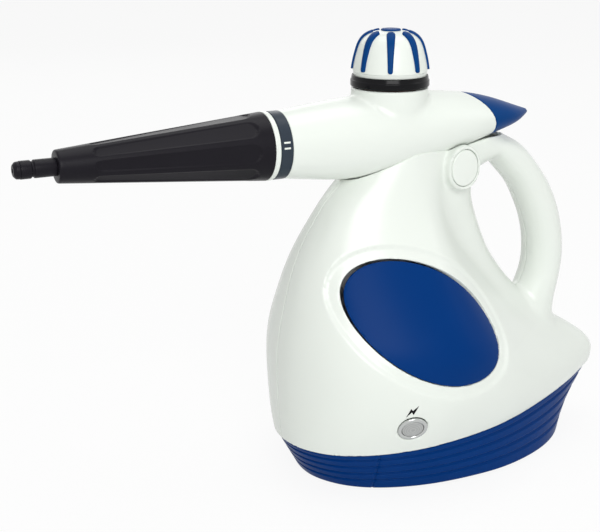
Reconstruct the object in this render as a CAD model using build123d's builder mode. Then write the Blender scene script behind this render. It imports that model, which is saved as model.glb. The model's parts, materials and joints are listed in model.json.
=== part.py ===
from build123d import *
import os
from math import atan2, cos, pi, radians, sin

os.makedirs("parts", exist_ok=True)

# A handheld steam cleaner, in millimetres. +Z is up, the nozzle points to -X, the handle is at +X and
# the middle plane is y = 0. The origin is on the floor, under the middle of the overall length.
# "Left" is -Y, the side with the pilot lamp.

# Overall layout
overall_length = 384.0
body_length = 236.0
body_half_width = 73.0
body_height = 192.0
filler_x = 29.0
barrel_z = 207.0
rear_x = overall_length / 2
tip_x = -overall_length / 2
body_front_x = rear_x - body_length

# Fits and small common values
wall = 2.6
cover_wall = 2.2
seam_gap = 0.2
running_gap = 0.3
shaft_gap = 0.05
press_gap = 0.02
chamfer = 0.6
overrun = 5.0
reach = body_length

# Numbers of steps round curves and of flat sides of hidden pieces
oval_steps = 8
coarse_steps = 4
ring_sides = 16
rod_sides = 8
head_sides = 6

# Hull of the lower body: one row for each level, as shares of height, length and half width.
# A row holds height, front, widest place, rear and half width.
hull_level_shares = (
    (0.052, 0.030, 0.340, 0.905, 0.680),
    (0.156, 0.009, 0.350, 0.966, 0.795),
    (0.260, 0.002, 0.360, 0.993, 0.915),
    (0.344, 0.000, 0.380, 0.920, 0.985),
    (0.417, 0.000, 0.390, 0.822, 1.000),
    (0.500, 0.007, 0.381, 0.725, 0.945),
    (0.583, 0.021, 0.369, 0.653, 0.822),
    (0.667, 0.038, 0.356, 0.589, 0.678),
    (0.755, 0.066, 0.347, 0.534, 0.534),
    (0.844, 0.108, 0.339, 0.517, 0.418),
    (0.927, 0.161, 0.339, 0.530, 0.350),
    (1.000, 0.220, 0.347, 0.576, 0.315),
    (1.104, 0.271, 0.356, 0.610, 0.288),
)
# Half outline of a level: ahead of and behind the widest place, as shares of that run and of the width.
# Behind it the outline is full at the rim and slim from the widest level upwards.
bow_shares = ((1.0, 0.0), (0.985, 0.20), (0.93, 0.40), (0.81, 0.63), (0.60, 0.83), (0.30, 0.965))
slim_stern_shares = (
    (0.0, 1.0), (0.24, 0.90), (0.46, 0.69), (0.66, 0.46),
    (0.82, 0.27), (0.93, 0.145), (0.985, 0.07), (1.0, 0.0),
)
full_stern_shares = (
    (0.0, 1.0), (0.22, 0.95), (0.42, 0.81), (0.62, 0.60),
    (0.79, 0.385), (0.92, 0.19), (0.985, 0.075), (1.0, 0.0),
)
full_height_share = 0.20
slim_height_share = 0.42
rear_inset_ratio = 2.0

# Rim between the white shells and the base: a plane that climbs to the rear
rim_front_z = 26.0
rim_rear_z = 39.0
rim_bow_x = body_front_x + 3.0
rim_stern_x = rear_x - 4.0

# Handle and web, as pairs of points across each bar: shares of body length behind the front and of height
handle_half_thick = 14.5
web_half_thick = 15.0
handle_pair_shares = (
    ((0.480, 1.066), (0.480, 0.962)),
    ((0.560, 1.062), (0.560, 0.958)),
    ((0.627, 1.052), (0.606, 0.969)),
    ((0.691, 1.018), (0.644, 0.927)),
    ((0.746, 0.953), (0.682, 0.875)),
    ((0.792, 0.880), (0.714, 0.807)),
    ((0.826, 0.797), (0.737, 0.740)),
    ((0.847, 0.708), (0.750, 0.672)),
    ((0.854, 0.620), (0.752, 0.609)),
    ((0.847, 0.536), (0.742, 0.550)),
    ((0.838, 0.458), (0.715, 0.470)),
    ((0.835, 0.360), (0.690, 0.360)),
)
web_pair_shares = (
    ((0.790, 0.440), (0.700, 0.330)),
    ((0.700, 0.525), (0.600, 0.430)),
    ((0.644, 0.609), (0.540, 0.540)),
    ((0.608, 0.682), (0.490, 0.625)),
    ((0.576, 0.766), (0.440, 0.735)),
    ((0.553, 0.844), (0.410, 0.844)),
    ((0.551, 0.901), (0.410, 0.935)),
    ((0.566, 0.948), (0.430, 1.030)),
    ((0.605, 0.990), (0.490, 1.110)),
)
handle_runs = ((0, 3), (2, 12))
web_runs = ((0, 3), (2, 9))
handle_cavity_first = 3
web_cavity_ends = (2, 8)

# Barrel: x, half width, underside and top of each section
barrel_sections = (
    (-42.0, 19.0, 188.0, 226.0),
    (-14.0, 22.0, 184.5, 229.3),
    (15.0, 24.5, 184.0, 231.2),
    (45.0, 25.0, 189.0, 231.0),
    (75.0, 23.5, 196.0, 228.8),
    (100.0, 18.0, 203.0, 223.6),
    (116.0, 10.5, 207.5, 218.2),
    (125.5, 3.0, 211.6, 215.0),
)

# Base: outline on the floor and grooves round its side, as shares of the way from the rim to the floor
base_front_x = -27.0
base_rear_x = 161.0
base_widest_x = 62.0
base_half_width = 54.2
base_bottom_z = 2.0
base_stern_shares = (
    (0.0, 1.0), (0.20, 0.985), (0.42, 0.90), (0.62, 0.76),
    (0.79, 0.57), (0.92, 0.33), (0.985, 0.13), (1.0, 0.0),
)
rim_overhang = 0.9
rim_search_rounds = 4
groove_shares = (0.16, 0.36, 0.56, 0.76)
groove_half_share = 0.04
groove_depth = 1.0
lip_height_share = -0.10
lip_foot_share = 0.10
lip_inset = wall + 1.6
lip_wall = 1.8
room_level_shares = (-0.15, 0.12, 0.25, 0.90)
post_foot_z = 3.0
post_circle = 46.0
post_radius = 4.0
post_bore_depth = 12.0
post_turns = (50.0, 170.0, 290.0)
foot_places = ((20.0, 40.0), (20.0, -40.0), (132.0, 24.0), (132.0, -24.0))
foot_radius = 7.0
foot_height = 3.5

# Screws: radius of the thread and size of the head, then where the three kinds sit
screw_radius = 1.28
screw_head_radius = 2.9
screw_head_height = 2.4
boss_radius = 4.5
boss_places = ((-31.0, 85.0), (2.0, 166.0), (93.0, 191.5), (146.0, 122.0), (150.0, 58.0))
screw_seat_y = 8.0
screw_end_y = -8.5
base_boss_places = ((0.0, 34.0), (0.0, -34.0), (112.0, 26.0), (112.0, -26.0))
base_boss_top_z = 46.0
base_screw_seat_z = 9.0
base_screw_end_z = 42.0
boss_joint_gap = 0.6
boss_rib_half = 1.2
boss_rib_reach = 24.0
flange_screw_length = 9.5
post_screw_length = 15.0

# Oval panels, the land behind them and the sunk band round them
oval_x = 26.5
oval_z = 107.1
oval_long = 49.5
oval_short = 30.3
oval_tilt = -28.2
oval_band = 8.0
oval_land = 11.0
band_depth = 1.2
panel_depth = 2.4
land_depth = 5.6

# Thumb lever, its pin and spring, and the brackets of the shells that hold the pin
hinge_x = 72.0
hinge_z = 197.0
lever_arc = 32.0
lever_turn = 5.0
lever_half = 3.0
hub_radius = 4.5
hub_half = 8.0
pin_radius = 2.0
bracket_y = 12.0
bracket_outer_y = 15.2
bracket_half_length = 6.0
bracket_low_z = 180.0
bracket_top_z = 202.5
hinge_room_radius = 5.5
fork_front_x = 48.5
fork_half = 6.0
fork_low_z = 197.8
fork_top_z = 200.0
fork_slot_rear_x = 57.4
slot_front_x = 60.0
slot_rear_x = 108.0
slot_top_z = 208.0
slot_gap = 0.8
arm_outline = (
    (72.0, 193.2), (88.0, 200.5), (110.0, 209.0), (122.0, 212.6), (122.0, 213.6), (104.0, 213.8),
    (72.0, 201.2),
)
heel_front_x = 74.4
heel_rear_x = 76.4
heel_low_z = 187.5
heel_slot_front_x = 73.3
heel_slot_rear_x = 85.0
heel_slot_low_z = 186.8
lever_spring_radius = 3.4
lever_spring_bore = 2.25
lever_spring_gap = 0.4

# Lock: a bolt across the body with a round head on each side
lock_x = 69.0
lock_z = 187.5
lock_face_y = 24.3
lock_head = 8.0
lock_head_radius = 10.9
lock_core_radius = 4.0
lock_travel = 4.0
lock_spigot_radius = 3.0
lock_edge = 1.0
collar_radius = 14.0
collar_face_y = 24.6
recess_floor_y = 15.5

# Boiler: two cups joined at a flange, standing on three posts of the base
boiler_radius = 38.0
boiler_wall = 2.0
boiler_low_z = 48.0
boiler_floor_edge = 3.0
flange_radius = 45.5
flange_low_z = 86.0
flange_mid_z = 90.0
gasket_thick = 0.8
flange_top_z = 94.0
dome_low_z = 104.0
dome_shoulder_z = 118.0
dome_shoulder_radius = 32.0
dome_top_z = 130.0
neck_top_z = 150.0
lug_radius = 4.6
bolt_circle = 41.8
bolt_turns = (20.0, 110.0, 200.0, 260.0, 320.0)
jacket_radius = 43.0
jacket_low_z = 53.0
jacket_top_z = 84.0
tube_radius = 14.5
tube_bore = 12.2
tube_low_z = 127.5
tube_top_z = 232.2
heater_radius = 34.0
heater_bore = 6.0
heater_low_z = 44.0
element_circle = 26.0
element_radius = 3.3
element_turn = 310.0
thermostat_y = 12.0
thermostat_radius = 9.0
thermostat_low_z = 36.0
blade_x = 6.0
blade_half_length = 4.0
blade_half = 1.0
blade_low_z = 31.0
fuse_y = -12.0
fuse_radius = 2.4
fuse_half_length = 8.0
fuse_wire_radius = 0.6
fuse_wire_half_length = 14.0
terminal_corner = (88.0, 2.0, 5.35)
terminal_size = (14.0, 16.0, 8.8)
terminal_slots = 3
terminal_pitch = 4.0
terminal_slot_width = 2.0
terminal_slot_floor_z = 8.0

# Steam line
valve_x = 54.0
valve_low_z = 178.0
valve_top_z = 196.0
valve_radius = 7.0
valve_end_wall = 2.0
valve_room = 4.6
valve_inlet_radius = 1.8
valve_outlet_z = 187.0
stem_radius = 2.5
plunger_radius = 4.2
plunger_low_z = 180.3
plunger_disc = 1.7
plunger_head_z = 201.0
plunger_head_radius = 4.5
plunger_head_height = 2.0
valve_spring_radius = 4.1
valve_spring_bore = 2.8
pipe_radius = 2.0
pipe_bore = 1.2
riser_radius = 3.0
riser_foot_z = 119.0
outlet_path = (
    (54.0, 7.02, 187.0), (54.0, 9.5, 187.0), (51.0, 12.0, 191.0), (46.0, 14.5, 203.0), (40.0, 16.9, 207.0),
    (10.0, 16.9, 207.0), (-8.0, 0.0, 207.0), (-36.0, 0.0, 207.0),
)
stub_radius = 4.0
stub_bore = 2.4
stub_tip_x = -62.0
stub_rear_x = -34.0
stub_seat = 3.0
socket_front_x = -40.0
socket_rear_x = -35.0

# Front ring and nozzle
ring_front_x = -49.2
ring_rear_x = -42.2
ring_radius = 19.2
ring_bore = 16.2
ring_spigot_radius = 16.6
ring_rear_bore = 13.0
groove_radius = 17.6
groove_front_x = -47.0
groove_rear_x = -44.0
bayonet_margin = 17.0
bayonet_starts = (90.0, 270.0)
collar_front_x = -52.5
collar_rear_x = -49.5
collar_rim_radius = 19.4
cone_tip_x = -169.7
cone_tip_radius = 8.8
cone_rear_radius = 19.3
cone_wall = 2.2
cone_seat_x = -157.7
cone_rib_front_x = -68.0
cone_rib_rear_x = -65.0
cone_rib_radius = 17.0
spigot_radius = 15.6
spigot_bore = 13.4
spigot_rear_x = -44.6
lug_outer = 17.3
lug_half_width = 4.5
twist_turn = 45.0
flute_front_x = -148.0
flute_rear_x = -66.0
flute_front_half = 3.0
flute_rear_half = 5.5
flute_depth = 1.0
flute_count = 8
flute_end_shares = ((1.0, 0.0), (0.5, 0.85), (0.0, 1.0))
liner_radius = 3.2
liner_bore = 2.2
liner_tip_x = -175.0
liner_step_x = -65.0
liner_rear_x = -54.0
liner_socket_radius = 8.0
liner_socket_front_x = -64.0
oring_front_x = -60.0
oring_rear_x = -57.8
oring_radius = 6.0
nozzle_tip_radius = 4.85
tip_seat_radius = 3.85
tip_bore = 1.2
tip_groove_front_x = -183.0
tip_groove_rear_x = -181.0
tip_groove_depth = 0.7
tip_hole_x = -176.0
tip_hole_radius = 1.0
nose_x = -188.5
nose_radius = 4.3
nose_tip_radius = 3.0
nose_edge = 1.2

# Filler neck and cap
neck_radius = 22.5
neck_bore = 19.5
neck_lip_z = 234.8
neck_ring_room = 23.6
funnel_low_z = 213.0
funnel_top_z = 215.5
gasket_inner = 12.25
gasket_outer = 15.5
gasket_low_z = 232.5
gasket_top_z = 234.2
slip_low_z = 234.5
slip_top_z = 235.3
cap_floor_z = 235.6
cap_floor_top_z = 237.6
cap_rim_z = 242.0
cap_ring_radius = 22.9
cap_channel_radius = 22.0
cap_bead_radius = 21.5
cap_bead_z = 241.2
cap_hub_radius = 12.0
cap_hub_bore = 6.0
cap_hub_z = 250.6
hub_roof_z = 249.2
hub_hole_radius = 1.5
cap_notch_half = 1.2
cap_notch_depth = 1.0
cap_notch_height = 3.0
plug_radius = 11.9
plug_low_z = 219.2
plug_edge = 1.0
plug_top_z = 235.58
spigot_top_z = 242.2
relief_bore = 2.2
poppet_radius = 4.6
poppet_low_z = 242.5
poppet_top_z = 244.8
poppet_stem_radius = 2.0
poppet_stem_z = 246.8
relief_spring_radius = 3.7
relief_spring_bore = 2.7
cap_spring_radius = 14.6
cap_spring_bore = 12.8
washer_inner = 12.5
washer_outer = 17.1
washer_low_z = 251.2
washer_top_z = 252.6
skirt_low_z = 239.9
skirt_lip_z = 240.6
skirt_top_z = 244.3
skirt_lip_radius = 21.7
skirt_radius = 21.2
skirt_wall = 1.0
dome_radius = 21.6
dome_inner_wall = 2.2
dome_profile = (
    (244.3, 21.6), (248.5, 21.0), (255.0, 19.5), (260.0, 17.9), (263.6, 15.2), (266.0, 10.8), (267.2, 0.0),
)
press_tube_inner = 13.6
press_tube_outer = 16.4
press_tube_z = 252.9
rib_count = 8
rib_first_turn = 15.0
rib_low_z = 245.4
rib_proud = 0.7
rib_inner_half = 2.5
rib_outer_half = 1.5
rib_inner_radius = 10.0
disc_radius = 5.7
disc_low_z = 266.4
disc_top_z = 268.0
disc_edge = 0.5
disc_spigot_radius = 3.0
disc_spigot_low_z = 262.9

# Pilot lamp, from its seat outwards along its axis
lamp_at = (12.7, -62.3, 47.4)
lamp_facing = (-0.25, -0.87, -0.42)
lamp_seat = -0.6
lamp_recess_radius = 9.0
lamp_barrel_radius = 7.5
lamp_bore = 6.4
lamp_flange_radius = 8.75
lamp_lip_radius = 8.1
lamp_edge = 0.6
lamp_face = 1.2
lamp_barrel_end = -8.0
lens_low = -5.0
lens_side = 0.6
lens_step_radius = 4.5
lens_crown = 1.5
holder_end = -16.0
holder_radius = 4.0
holder_flange_low = -8.72
holder_flange_top = -8.02
holder_flange_radius = 7.0
bulb_radius = 2.5
bulb_end = -5.2

# Cord gland, from its seat outwards along its axis
gland_at = (126.0, 38.6, 19.0)
gland_facing = (0.4, 0.917, 0.0)
gland_seat = -0.8
gland_recess_radius = 9.0
gland_recess_end = 15.0
gland_bore = 3.6
gland_radius = 6.0
gland_flange_radius = 8.8
gland_flange_top = 1.0
gland_ends = (-6.0, 6.0)
gland_nose_radius = 5.4

filler_axis = Axis((filler_x, 0, 0), (0, 0, 1))
barrel_axis = Axis((0, 0, barrel_z), (1, 0, 0))
lock_axis = Axis((lock_x, 0, lock_z), (0, 1, 0))
hinge_axis = Axis((hinge_x, 0, hinge_z), (0, 1, 0))
valve_axis = Axis((valve_x, 0, 0), (0, 0, 1))
thermostat_axis = Axis((filler_x, thermostat_y, 0), (0, 0, 1))
lamp_axis = Axis(lamp_at, lamp_facing)
gland_axis = Axis(gland_at, gland_facing)


def at_body(share_pair):
    """A point of the middle plane from shares of the body's length and height."""
    along, up = share_pair
    return (body_front_x + along * body_length, up * body_height)


def between(first, second, share):
    return tuple(a + share * (b - a) for a, b in zip(first, second))


def joined(*pieces):
    with BuildPart() as whole:
        for piece in pieces:
            add(piece)
    return whole.part


def less(piece, *tools):
    """A piece with tools cut out of it."""
    with BuildPart() as rest:
        add(piece)
        for tool in tools:
            add(tool, mode=Mode.SUBTRACT)
    return rest.part


def common(piece, tool):
    with BuildPart() as shared:
        add(piece)
        add(tool, mode=Mode.INTERSECT)
    return shared.part


def half_oval(along, across, steps=oval_steps):
    """Points round the upper half of an ellipse, from its +X end to its -X end."""
    turns = [pi * k / steps for k in range(steps + 1)]
    return [(along * cos(t), across * sin(t)) for t in turns]


def closed_face(half_points, faceted=False):
    """A closed outline from its upper half, as a smooth curve or with straight sides."""
    points = [*half_points, *[(x, -y) for x, y in half_points[-2:0:-1]]]
    with BuildLine() as outline:
        if faceted:
            Polyline(*points, close=True)
        else:
            Spline(*points, periodic=True)
    with BuildSketch() as face:
        add(outline.line)
        make_face()
    return face.sketch


def hull_row(height):
    """The hull's row of shares at any height, in a straight line between the rows given."""
    rows = hull_level_shares
    upper = next(k for k in range(1, len(rows)) if rows[k][0] >= height or k == len(rows) - 1)
    low, high = rows[upper - 1], rows[upper]
    return between(low, high, (height - low[0]) / (high[0] - low[0]))


def hull_half_outline(row, inset=0.0):
    """Upper half of one level's outline, drawn in by an inset, as points of x and y."""
    height, front, widest, rear, width = row
    widest_x = body_front_x + widest * body_length
    front_run = widest_x - body_front_x - front * body_length - inset
    rear_run = body_front_x + rear * body_length - rear_inset_ratio * inset - widest_x
    half = width * body_half_width - inset
    slim = min(max((height - full_height_share) / (slim_height_share - full_height_share), 0), 1)
    stern = [between(a, b, slim) for a, b in zip(full_stern_shares, slim_stern_shares)]
    ahead = [(widest_x - u * front_run, v * half) for u, v in bow_shares]
    behind = [(widest_x + u * rear_run, v * half) for u, v in stern]
    return ahead + behind


def hull_form(inset, faceted=False):
    """The belly as a loft of its levels, drawn in by an inset. A faceted one has half of them."""
    levels = []
    for row in hull_level_shares[::2] if faceted else hull_level_shares:
        outline = hull_half_outline(row, inset)
        if faceted:
            outline = outline[:-2:2] + outline[-1:]
        levels.append(Plane.XY.offset(row[0] * body_height) * closed_face(outline, faceted))
    with BuildPart() as form:
        loft(sections=levels, ruled=faceted)
    return form.part


def bar_form(pairs, half_thick, inset=0.0, faceted=False):
    """A bar of the handle loop, lofted through elliptical sections across it."""
    sections = []
    for pair in pairs:
        (x0, z0), (x1, z1) = (at_body(p) for p in pair)
        across = Vector(x1 - x0, 0, z1 - z0)
        middle = Vector((x0 + x1) / 2, 0, (z0 + z1) / 2)
        facing = Vector(0, 1, 0).cross(across)
        steps = coarse_steps if faceted else oval_steps
        oval = half_oval(across.length / 2 - inset, half_thick - inset, steps)
        sections.append(Plane(origin=middle, x_dir=across, z_dir=facing) * closed_face(oval, faceted))
    with BuildPart() as form:
        loft(sections=sections, ruled=faceted)
    return form.part


def barrel_form(inset, faceted=False):
    """The outer form of the barrel and its beak, drawn in by an inset, or grown when it is negative."""
    sections = []
    for x, half, low, high in barrel_sections:
        wide, tall = half - inset, (high - low) / 2 - inset
        if min(wide, tall) > chamfer:
            oval = half_oval(tall, wide, coarse_steps if faceted else oval_steps)
            place = Plane(origin=(x, 0, (low + high) / 2), x_dir=(0, 0, 1), z_dir=(1, 0, 0))
            sections.append(place * closed_face(oval, faceted))
    with BuildPart() as form:
        loft(sections=sections, ruled=faceted)
    return form.part


def rim_height(x):
    return rim_front_z + (x - body_front_x) * (rim_rear_z - rim_front_z) / body_length


def tilted_plane(t, lift=0.0):
    """A plane across the base: just under the rim plane at 0, level with the floor of the base at 1."""
    front = between((rim_bow_x, rim_height(rim_bow_x) - seam_gap + lift), (base_front_x, base_bottom_z), t)
    rear = between((rim_stern_x, rim_height(rim_stern_x) - seam_gap + lift), (base_rear_x, base_bottom_z), t)
    run = Vector(rear[0] - front[0], 0, rear[1] - front[1])
    return Plane(origin=(front[0], 0, front[1]), x_dir=run, z_dir=Vector(-run.Z, 0, run.X))


def rim_half_outline(inset):
    """Upper half of the hull's outline where the rim plane cuts it, as points of x and y."""
    points = []
    for k in range(len(bow_shares) + len(full_stern_shares)):
        x = filler_x
        for _ in range(rim_search_rounds):
            x, y = hull_half_outline(hull_row(rim_height(x) / body_height), inset)[k]
        points.append((x, y))
    return points


def base_section(t, inset=0.0, faceted=False):
    """The base's outline part way from the rim to the floor, in its tilted plane."""
    front_run = base_widest_x - base_front_x - inset
    rear_run = base_rear_x - inset - base_widest_x
    half = base_half_width - inset
    floor = [(base_widest_x - u * front_run, v * half) for u, v in bow_shares]
    floor += [(base_widest_x + u * rear_run, v * half) for u, v in base_stern_shares]
    outline = [between(a, b, t) for a, b in zip(rim_half_outline(rim_overhang + inset), floor)]
    plane = tilted_plane(t)
    lean = plane.x_dir.X
    local = [((x - plane.origin.X) / lean, y) for x, y in outline]
    local = local[:-2:2] + local[-1:]
    return plane * closed_face(local, faceted)


def box(x0, x1, y0, y1, z0, z1):
    """A block between two corners."""
    middle = ((x0 + x1) / 2, (y0 + y1) / 2, (z0 + z1) / 2)
    with BuildPart(Plane(origin=middle)) as block:
        Box(x1 - x0, y1 - y0, z1 - z0)
    return block.part


def rod(radius, start, end, sides=0):
    """A straight rod from one place to another, round or with a number of flat sides."""
    run = Vector(*end) - Vector(*start)
    with BuildSketch(Plane(origin=start, z_dir=run)) as section:
        if sides:
            RegularPolygon(radius, sides)
        else:
            Circle(radius)
    with BuildPart() as bar:
        extrude(section.sketch, amount=run.length)
    return bar.part


def across_body(radius, x, z, first_y, last_y, sides=0):
    """A rod that runs across the body, along Y."""
    return rod(radius, (x, first_y, z), (x, last_y, z), sides)


def upright(radius, x, y, low, high, sides=0):
    return rod(radius, (x, y, low), (x, y, high), sides)


def turned(points, axis):
    """A piece turned round an axis, from points of distance along it and radius."""
    side = axis.direction.cross(Vector(0, 0, 1))
    if side.length < chamfer:
        side = Vector(0, 1, 0)
    with BuildLine() as outline:
        Polyline(*points, close=True)
    with BuildSketch(Plane(origin=axis.position, x_dir=axis.direction, z_dir=side)) as section:
        add(outline.line)
        make_face()
    with BuildPart() as piece:
        revolve(section.sketch, axis=axis)
    return piece.part


def ring(axis, low, high, outer, inner):
    """A plain round ring on an axis."""
    return turned([(low, inner), (low, outer), (high, outer), (high, inner)], axis)


def washer(axis, low, high, outer, inner, sides=ring_sides):
    """A hidden ring with flat sides. Its corners reach the outer radius and its bore clears the inner one."""
    with BuildSketch(Plane(origin=axis.position + axis.direction * low, z_dir=axis.direction)) as section:
        RegularPolygon(outer, sides)
        RegularPolygon(inner, sides, major_radius=False, mode=Mode.SUBTRACT)
    with BuildPart() as piece:
        extrude(section.sketch, amount=high - low)
    return piece.part


def disc(axis, low, high, radius):
    return turned([(low, 0), (low, radius), (high, radius), (high, 0)], axis)


def plate(plane, points, thickness):
    """A flat piece of one outline, standing on a plane."""
    with BuildLine() as outline:
        Polyline(*points, close=True)
    with BuildSketch(plane) as section:
        add(outline.line)
        make_face()
    with BuildPart() as piece:
        extrude(section.sketch, amount=thickness)
    return piece.part


def screw(at, facing, length):
    """A hexagon-head screw seated at a place, its head standing the way it faces."""
    out = Vector(*facing)
    seat = Vector(*at)
    thread = rod(screw_radius, seat - out * length, seat, rod_sides)
    head = rod(screw_head_radius, seat, seat + out * screw_head_height, head_sides)
    return joined(thread, head)


def round_places(circle, turns):
    return [(filler_x + circle * cos(radians(t)), circle * sin(radians(t))) for t in turns]


post_places = round_places(post_circle, post_turns)
bolt_places = round_places(bolt_circle, bolt_turns)


def holes(places, radius, low, high):
    """Upright rods at several places, a little longer than asked so that they cut right through."""
    with BuildPart() as drilled:
        for x, y in places:
            add(upright(radius, x, y, low - chamfer, high + chamfer, rod_sides))
    return drilled.part


def sector(radius, first, last, low, high):
    """A slice of a disc on the barrel's axis between two turns, measured from +Y towards +Z."""
    turns = [radians(first + (last - first) * k / oval_steps) for k in range(oval_steps + 1)]
    points = [(0, 0), *[(radius * cos(t), radius * sin(t)) for t in turns]]
    return plate(Plane(origin=(low, 0, barrel_z), x_dir=(0, 1, 0), z_dir=(1, 0, 0)), points, high - low)


def cone_radius(x):
    share = (x - cone_tip_x) / (collar_front_x - cone_tip_x)
    return cone_tip_radius + share * (cone_rear_radius - cone_tip_radius)


def flute():
    """The tool for one flat flute of the cone: a tapering slot with round ends, on the upper side."""
    lean = atan2(cone_radius(flute_rear_x) - cone_radius(flute_front_x), flute_rear_x - flute_front_x)
    start = (flute_front_x, 0, barrel_z + cone_radius(flute_front_x) - flute_depth)
    run = (flute_rear_x - flute_front_x) / cos(lean)
    front = [(-u * flute_front_half, v * flute_front_half) for u, v in flute_end_shares]
    rear = [(run + u * flute_rear_half, v * flute_rear_half) for u, v in flute_end_shares[::-1]]
    upper = front + rear
    outline = [*upper, *[(x, -y) for x, y in upper[-2:0:-1]]]
    place = Plane(origin=start, x_dir=(cos(lean), 0, sin(lean)), z_dir=(-sin(lean), 0, cos(lean)))
    return plate(place, outline, flute_rear_half)


def oval_prism(grow, side):
    """The oval as a prism along Y, grown by a margin, on the left (-1) or right (+1) side."""
    with BuildSketch(Plane.XZ) as section:
        with Locations((oval_x, oval_z)):
            Ellipse(oval_long + grow, oval_short + grow, rotation=oval_tilt)
    with BuildPart() as prism:
        extrude(section.sketch, amount=-side * (body_half_width + overrun))
    return prism.part


def pan_lip():
    """The low lip of the base that stands inside the shells."""
    with BuildPart() as lip:
        sections = [base_section(t, lip_inset, True) for t in (lip_foot_share, lip_height_share)]
        loft(sections=sections, ruled=True)
    return lip.part


def pan_room():
    """The room inside the base."""
    insets = (lip_inset + lip_wall, lip_inset + lip_wall, wall, wall)
    with BuildPart() as room:
        levels = [base_section(t, inset, True) for t, inset in zip(room_level_shares, insets)]
        loft(sections=levels, ruled=True)
    return room.part


def dome_solid(grow):
    """The solid under the dome's outer surface, grown or shrunk by a margin."""
    crown = []
    for z, r in dome_profile:
        flat = (r / dome_radius) ** 3
        crown.append((z + grow * (1 - flat), r + grow * flat if r > 0 else 0))
    return turned([(skirt_low_z, 0), (skirt_low_z, crown[0][1]), *crown], filler_axis)


# Forms that several pieces share
barrel_solid = barrel_form(0)
barrel_clearance = barrel_form(-running_gap)
barrel_hollow = barrel_form(cover_wall, True)
belly_hollow = hull_form(wall, True)
belly_deep = hull_form(land_depth, True)
lever_region = box(hinge_x, hinge_x + reach, -reach, reach, 0, 2 * hinge_z)
hinge_room = across_body(hinge_room_radius, hinge_x, hinge_z, -bracket_y, bracket_y)
brackets = []
bracket_rooms = []
for side in (-1, 1):
    near, far = sorted((side * bracket_y, side * bracket_outer_y))
    half, gap = bracket_half_length, running_gap
    brackets.append(box(hinge_x - half, hinge_x + half, near, far, bracket_low_z, bracket_top_z))
    bracket_rooms.append(box(hinge_x - half - gap, hinge_x + half + gap, near - gap, far + gap,
                             bracket_low_z, bracket_top_z + gap))

# The white body: belly, handle loop and lock collars, with the sunk bands, the bed of the barrel and the
# sweep of the pressed lever taken out, and cut off along the rim
band = less(joined(oval_prism(oval_band, -1), oval_prism(oval_band, 1)), hull_form(band_depth))
lever_sweep = common(barrel_clearance, lever_region)
with BuildPart() as body_form:
    add(hull_form(0))
    for first, last in handle_runs:
        add(bar_form(handle_pair_shares[first:last], handle_half_thick))
    for first, last in web_runs:
        add(bar_form(web_pair_shares[first:last], web_half_thick))
    add(across_body(collar_radius, lock_x, lock_z, -collar_face_y, collar_face_y))
    add(band, mode=Mode.SUBTRACT)
    add(barrel_clearance, mode=Mode.SUBTRACT)
    for share in (0.5, 1):
        add(lever_sweep.rotate(hinge_axis, share * lever_turn), mode=Mode.SUBTRACT)
    split(bisect_by=tilted_plane(0, seam_gap), keep=Keep.TOP)

# Room inside the body, less the bosses, the land behind the ovals and the lock collars
land = less(joined(oval_prism(oval_land, -1), oval_prism(oval_land, 1)), belly_deep)
with BuildPart() as body_room:
    add(belly_hollow)
    add(bar_form(handle_pair_shares[handle_cavity_first:], handle_half_thick, wall, True))
    add(bar_form(web_pair_shares[slice(*web_cavity_ends)], web_half_thick, wall, True))
    add(land, mode=Mode.SUBTRACT)
    for x, z in boss_places:
        add(across_body(boss_radius, x, z, -reach, reach, rod_sides), mode=Mode.SUBTRACT)
    for x, y in base_boss_places:
        near, far = sorted((y, y + y / abs(y) * boss_rib_reach))
        add(upright(boss_radius, x, y, 0, base_boss_top_z, rod_sides), mode=Mode.SUBTRACT)
        add(box(x - boss_rib_half, x + boss_rib_half, near, far, 0, base_boss_top_z), mode=Mode.SUBTRACT)
    for side in (-1, 1):
        add(across_body(collar_radius, lock_x, lock_z, side * bracket_y, side * reach), mode=Mode.SUBTRACT)

with BuildPart() as body_shell:
    add(body_form.part)
    add(body_room.part, mode=Mode.SUBTRACT)
    add(hinge_room, mode=Mode.SUBTRACT)
    add(box(heel_slot_front_x, heel_slot_rear_x, -lever_half - slot_gap, lever_half + slot_gap,
            heel_slot_low_z, slot_top_z), mode=Mode.SUBTRACT)
    for side, bracket in zip((-1, 1), brackets):
        add(bracket)
        add(oval_prism(0, side), mode=Mode.SUBTRACT)
        add(across_body(lock_head_radius + running_gap, lock_x, lock_z, side * recess_floor_y, side * reach),
            mode=Mode.SUBTRACT)
    add(across_body(lock_core_radius + shaft_gap, lock_x, lock_z, -reach, reach), mode=Mode.SUBTRACT)
    add(across_body(pin_radius + press_gap, hinge_x, hinge_z, -bracket_outer_y, bracket_outer_y),
        mode=Mode.SUBTRACT)
    add(holes(base_boss_places, screw_radius + press_gap, 0, base_screw_end_z), mode=Mode.SUBTRACT)
    for x, z in boss_places:
        add(across_body(screw_radius + press_gap, x, z, screw_end_y - chamfer, screw_seat_y, rod_sides),
            mode=Mode.SUBTRACT)
        add(across_body(screw_head_radius + running_gap, x, z, screw_seat_y, reach), mode=Mode.SUBTRACT)

with BuildPart() as left_shell:
    add(body_shell.part)
    split(bisect_by=Plane.XZ, keep=Keep.TOP)
    add(disc(lamp_axis, lamp_seat, gland_recess_end, lamp_recess_radius), mode=Mode.SUBTRACT)
    add(disc(lamp_axis, holder_end, 0, lamp_barrel_radius + press_gap), mode=Mode.SUBTRACT)
with BuildPart() as right_shell:
    add(body_shell.part)
    split(bisect_by=Plane.XZ, keep=Keep.BOTTOM)

panel_form = hull_form(panel_depth)
left_oval_panel, right_oval_panel = (
    less(common(panel_form, oval_prism(-seam_gap, side)), belly_deep) for side in (-1, 1)
)

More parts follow.
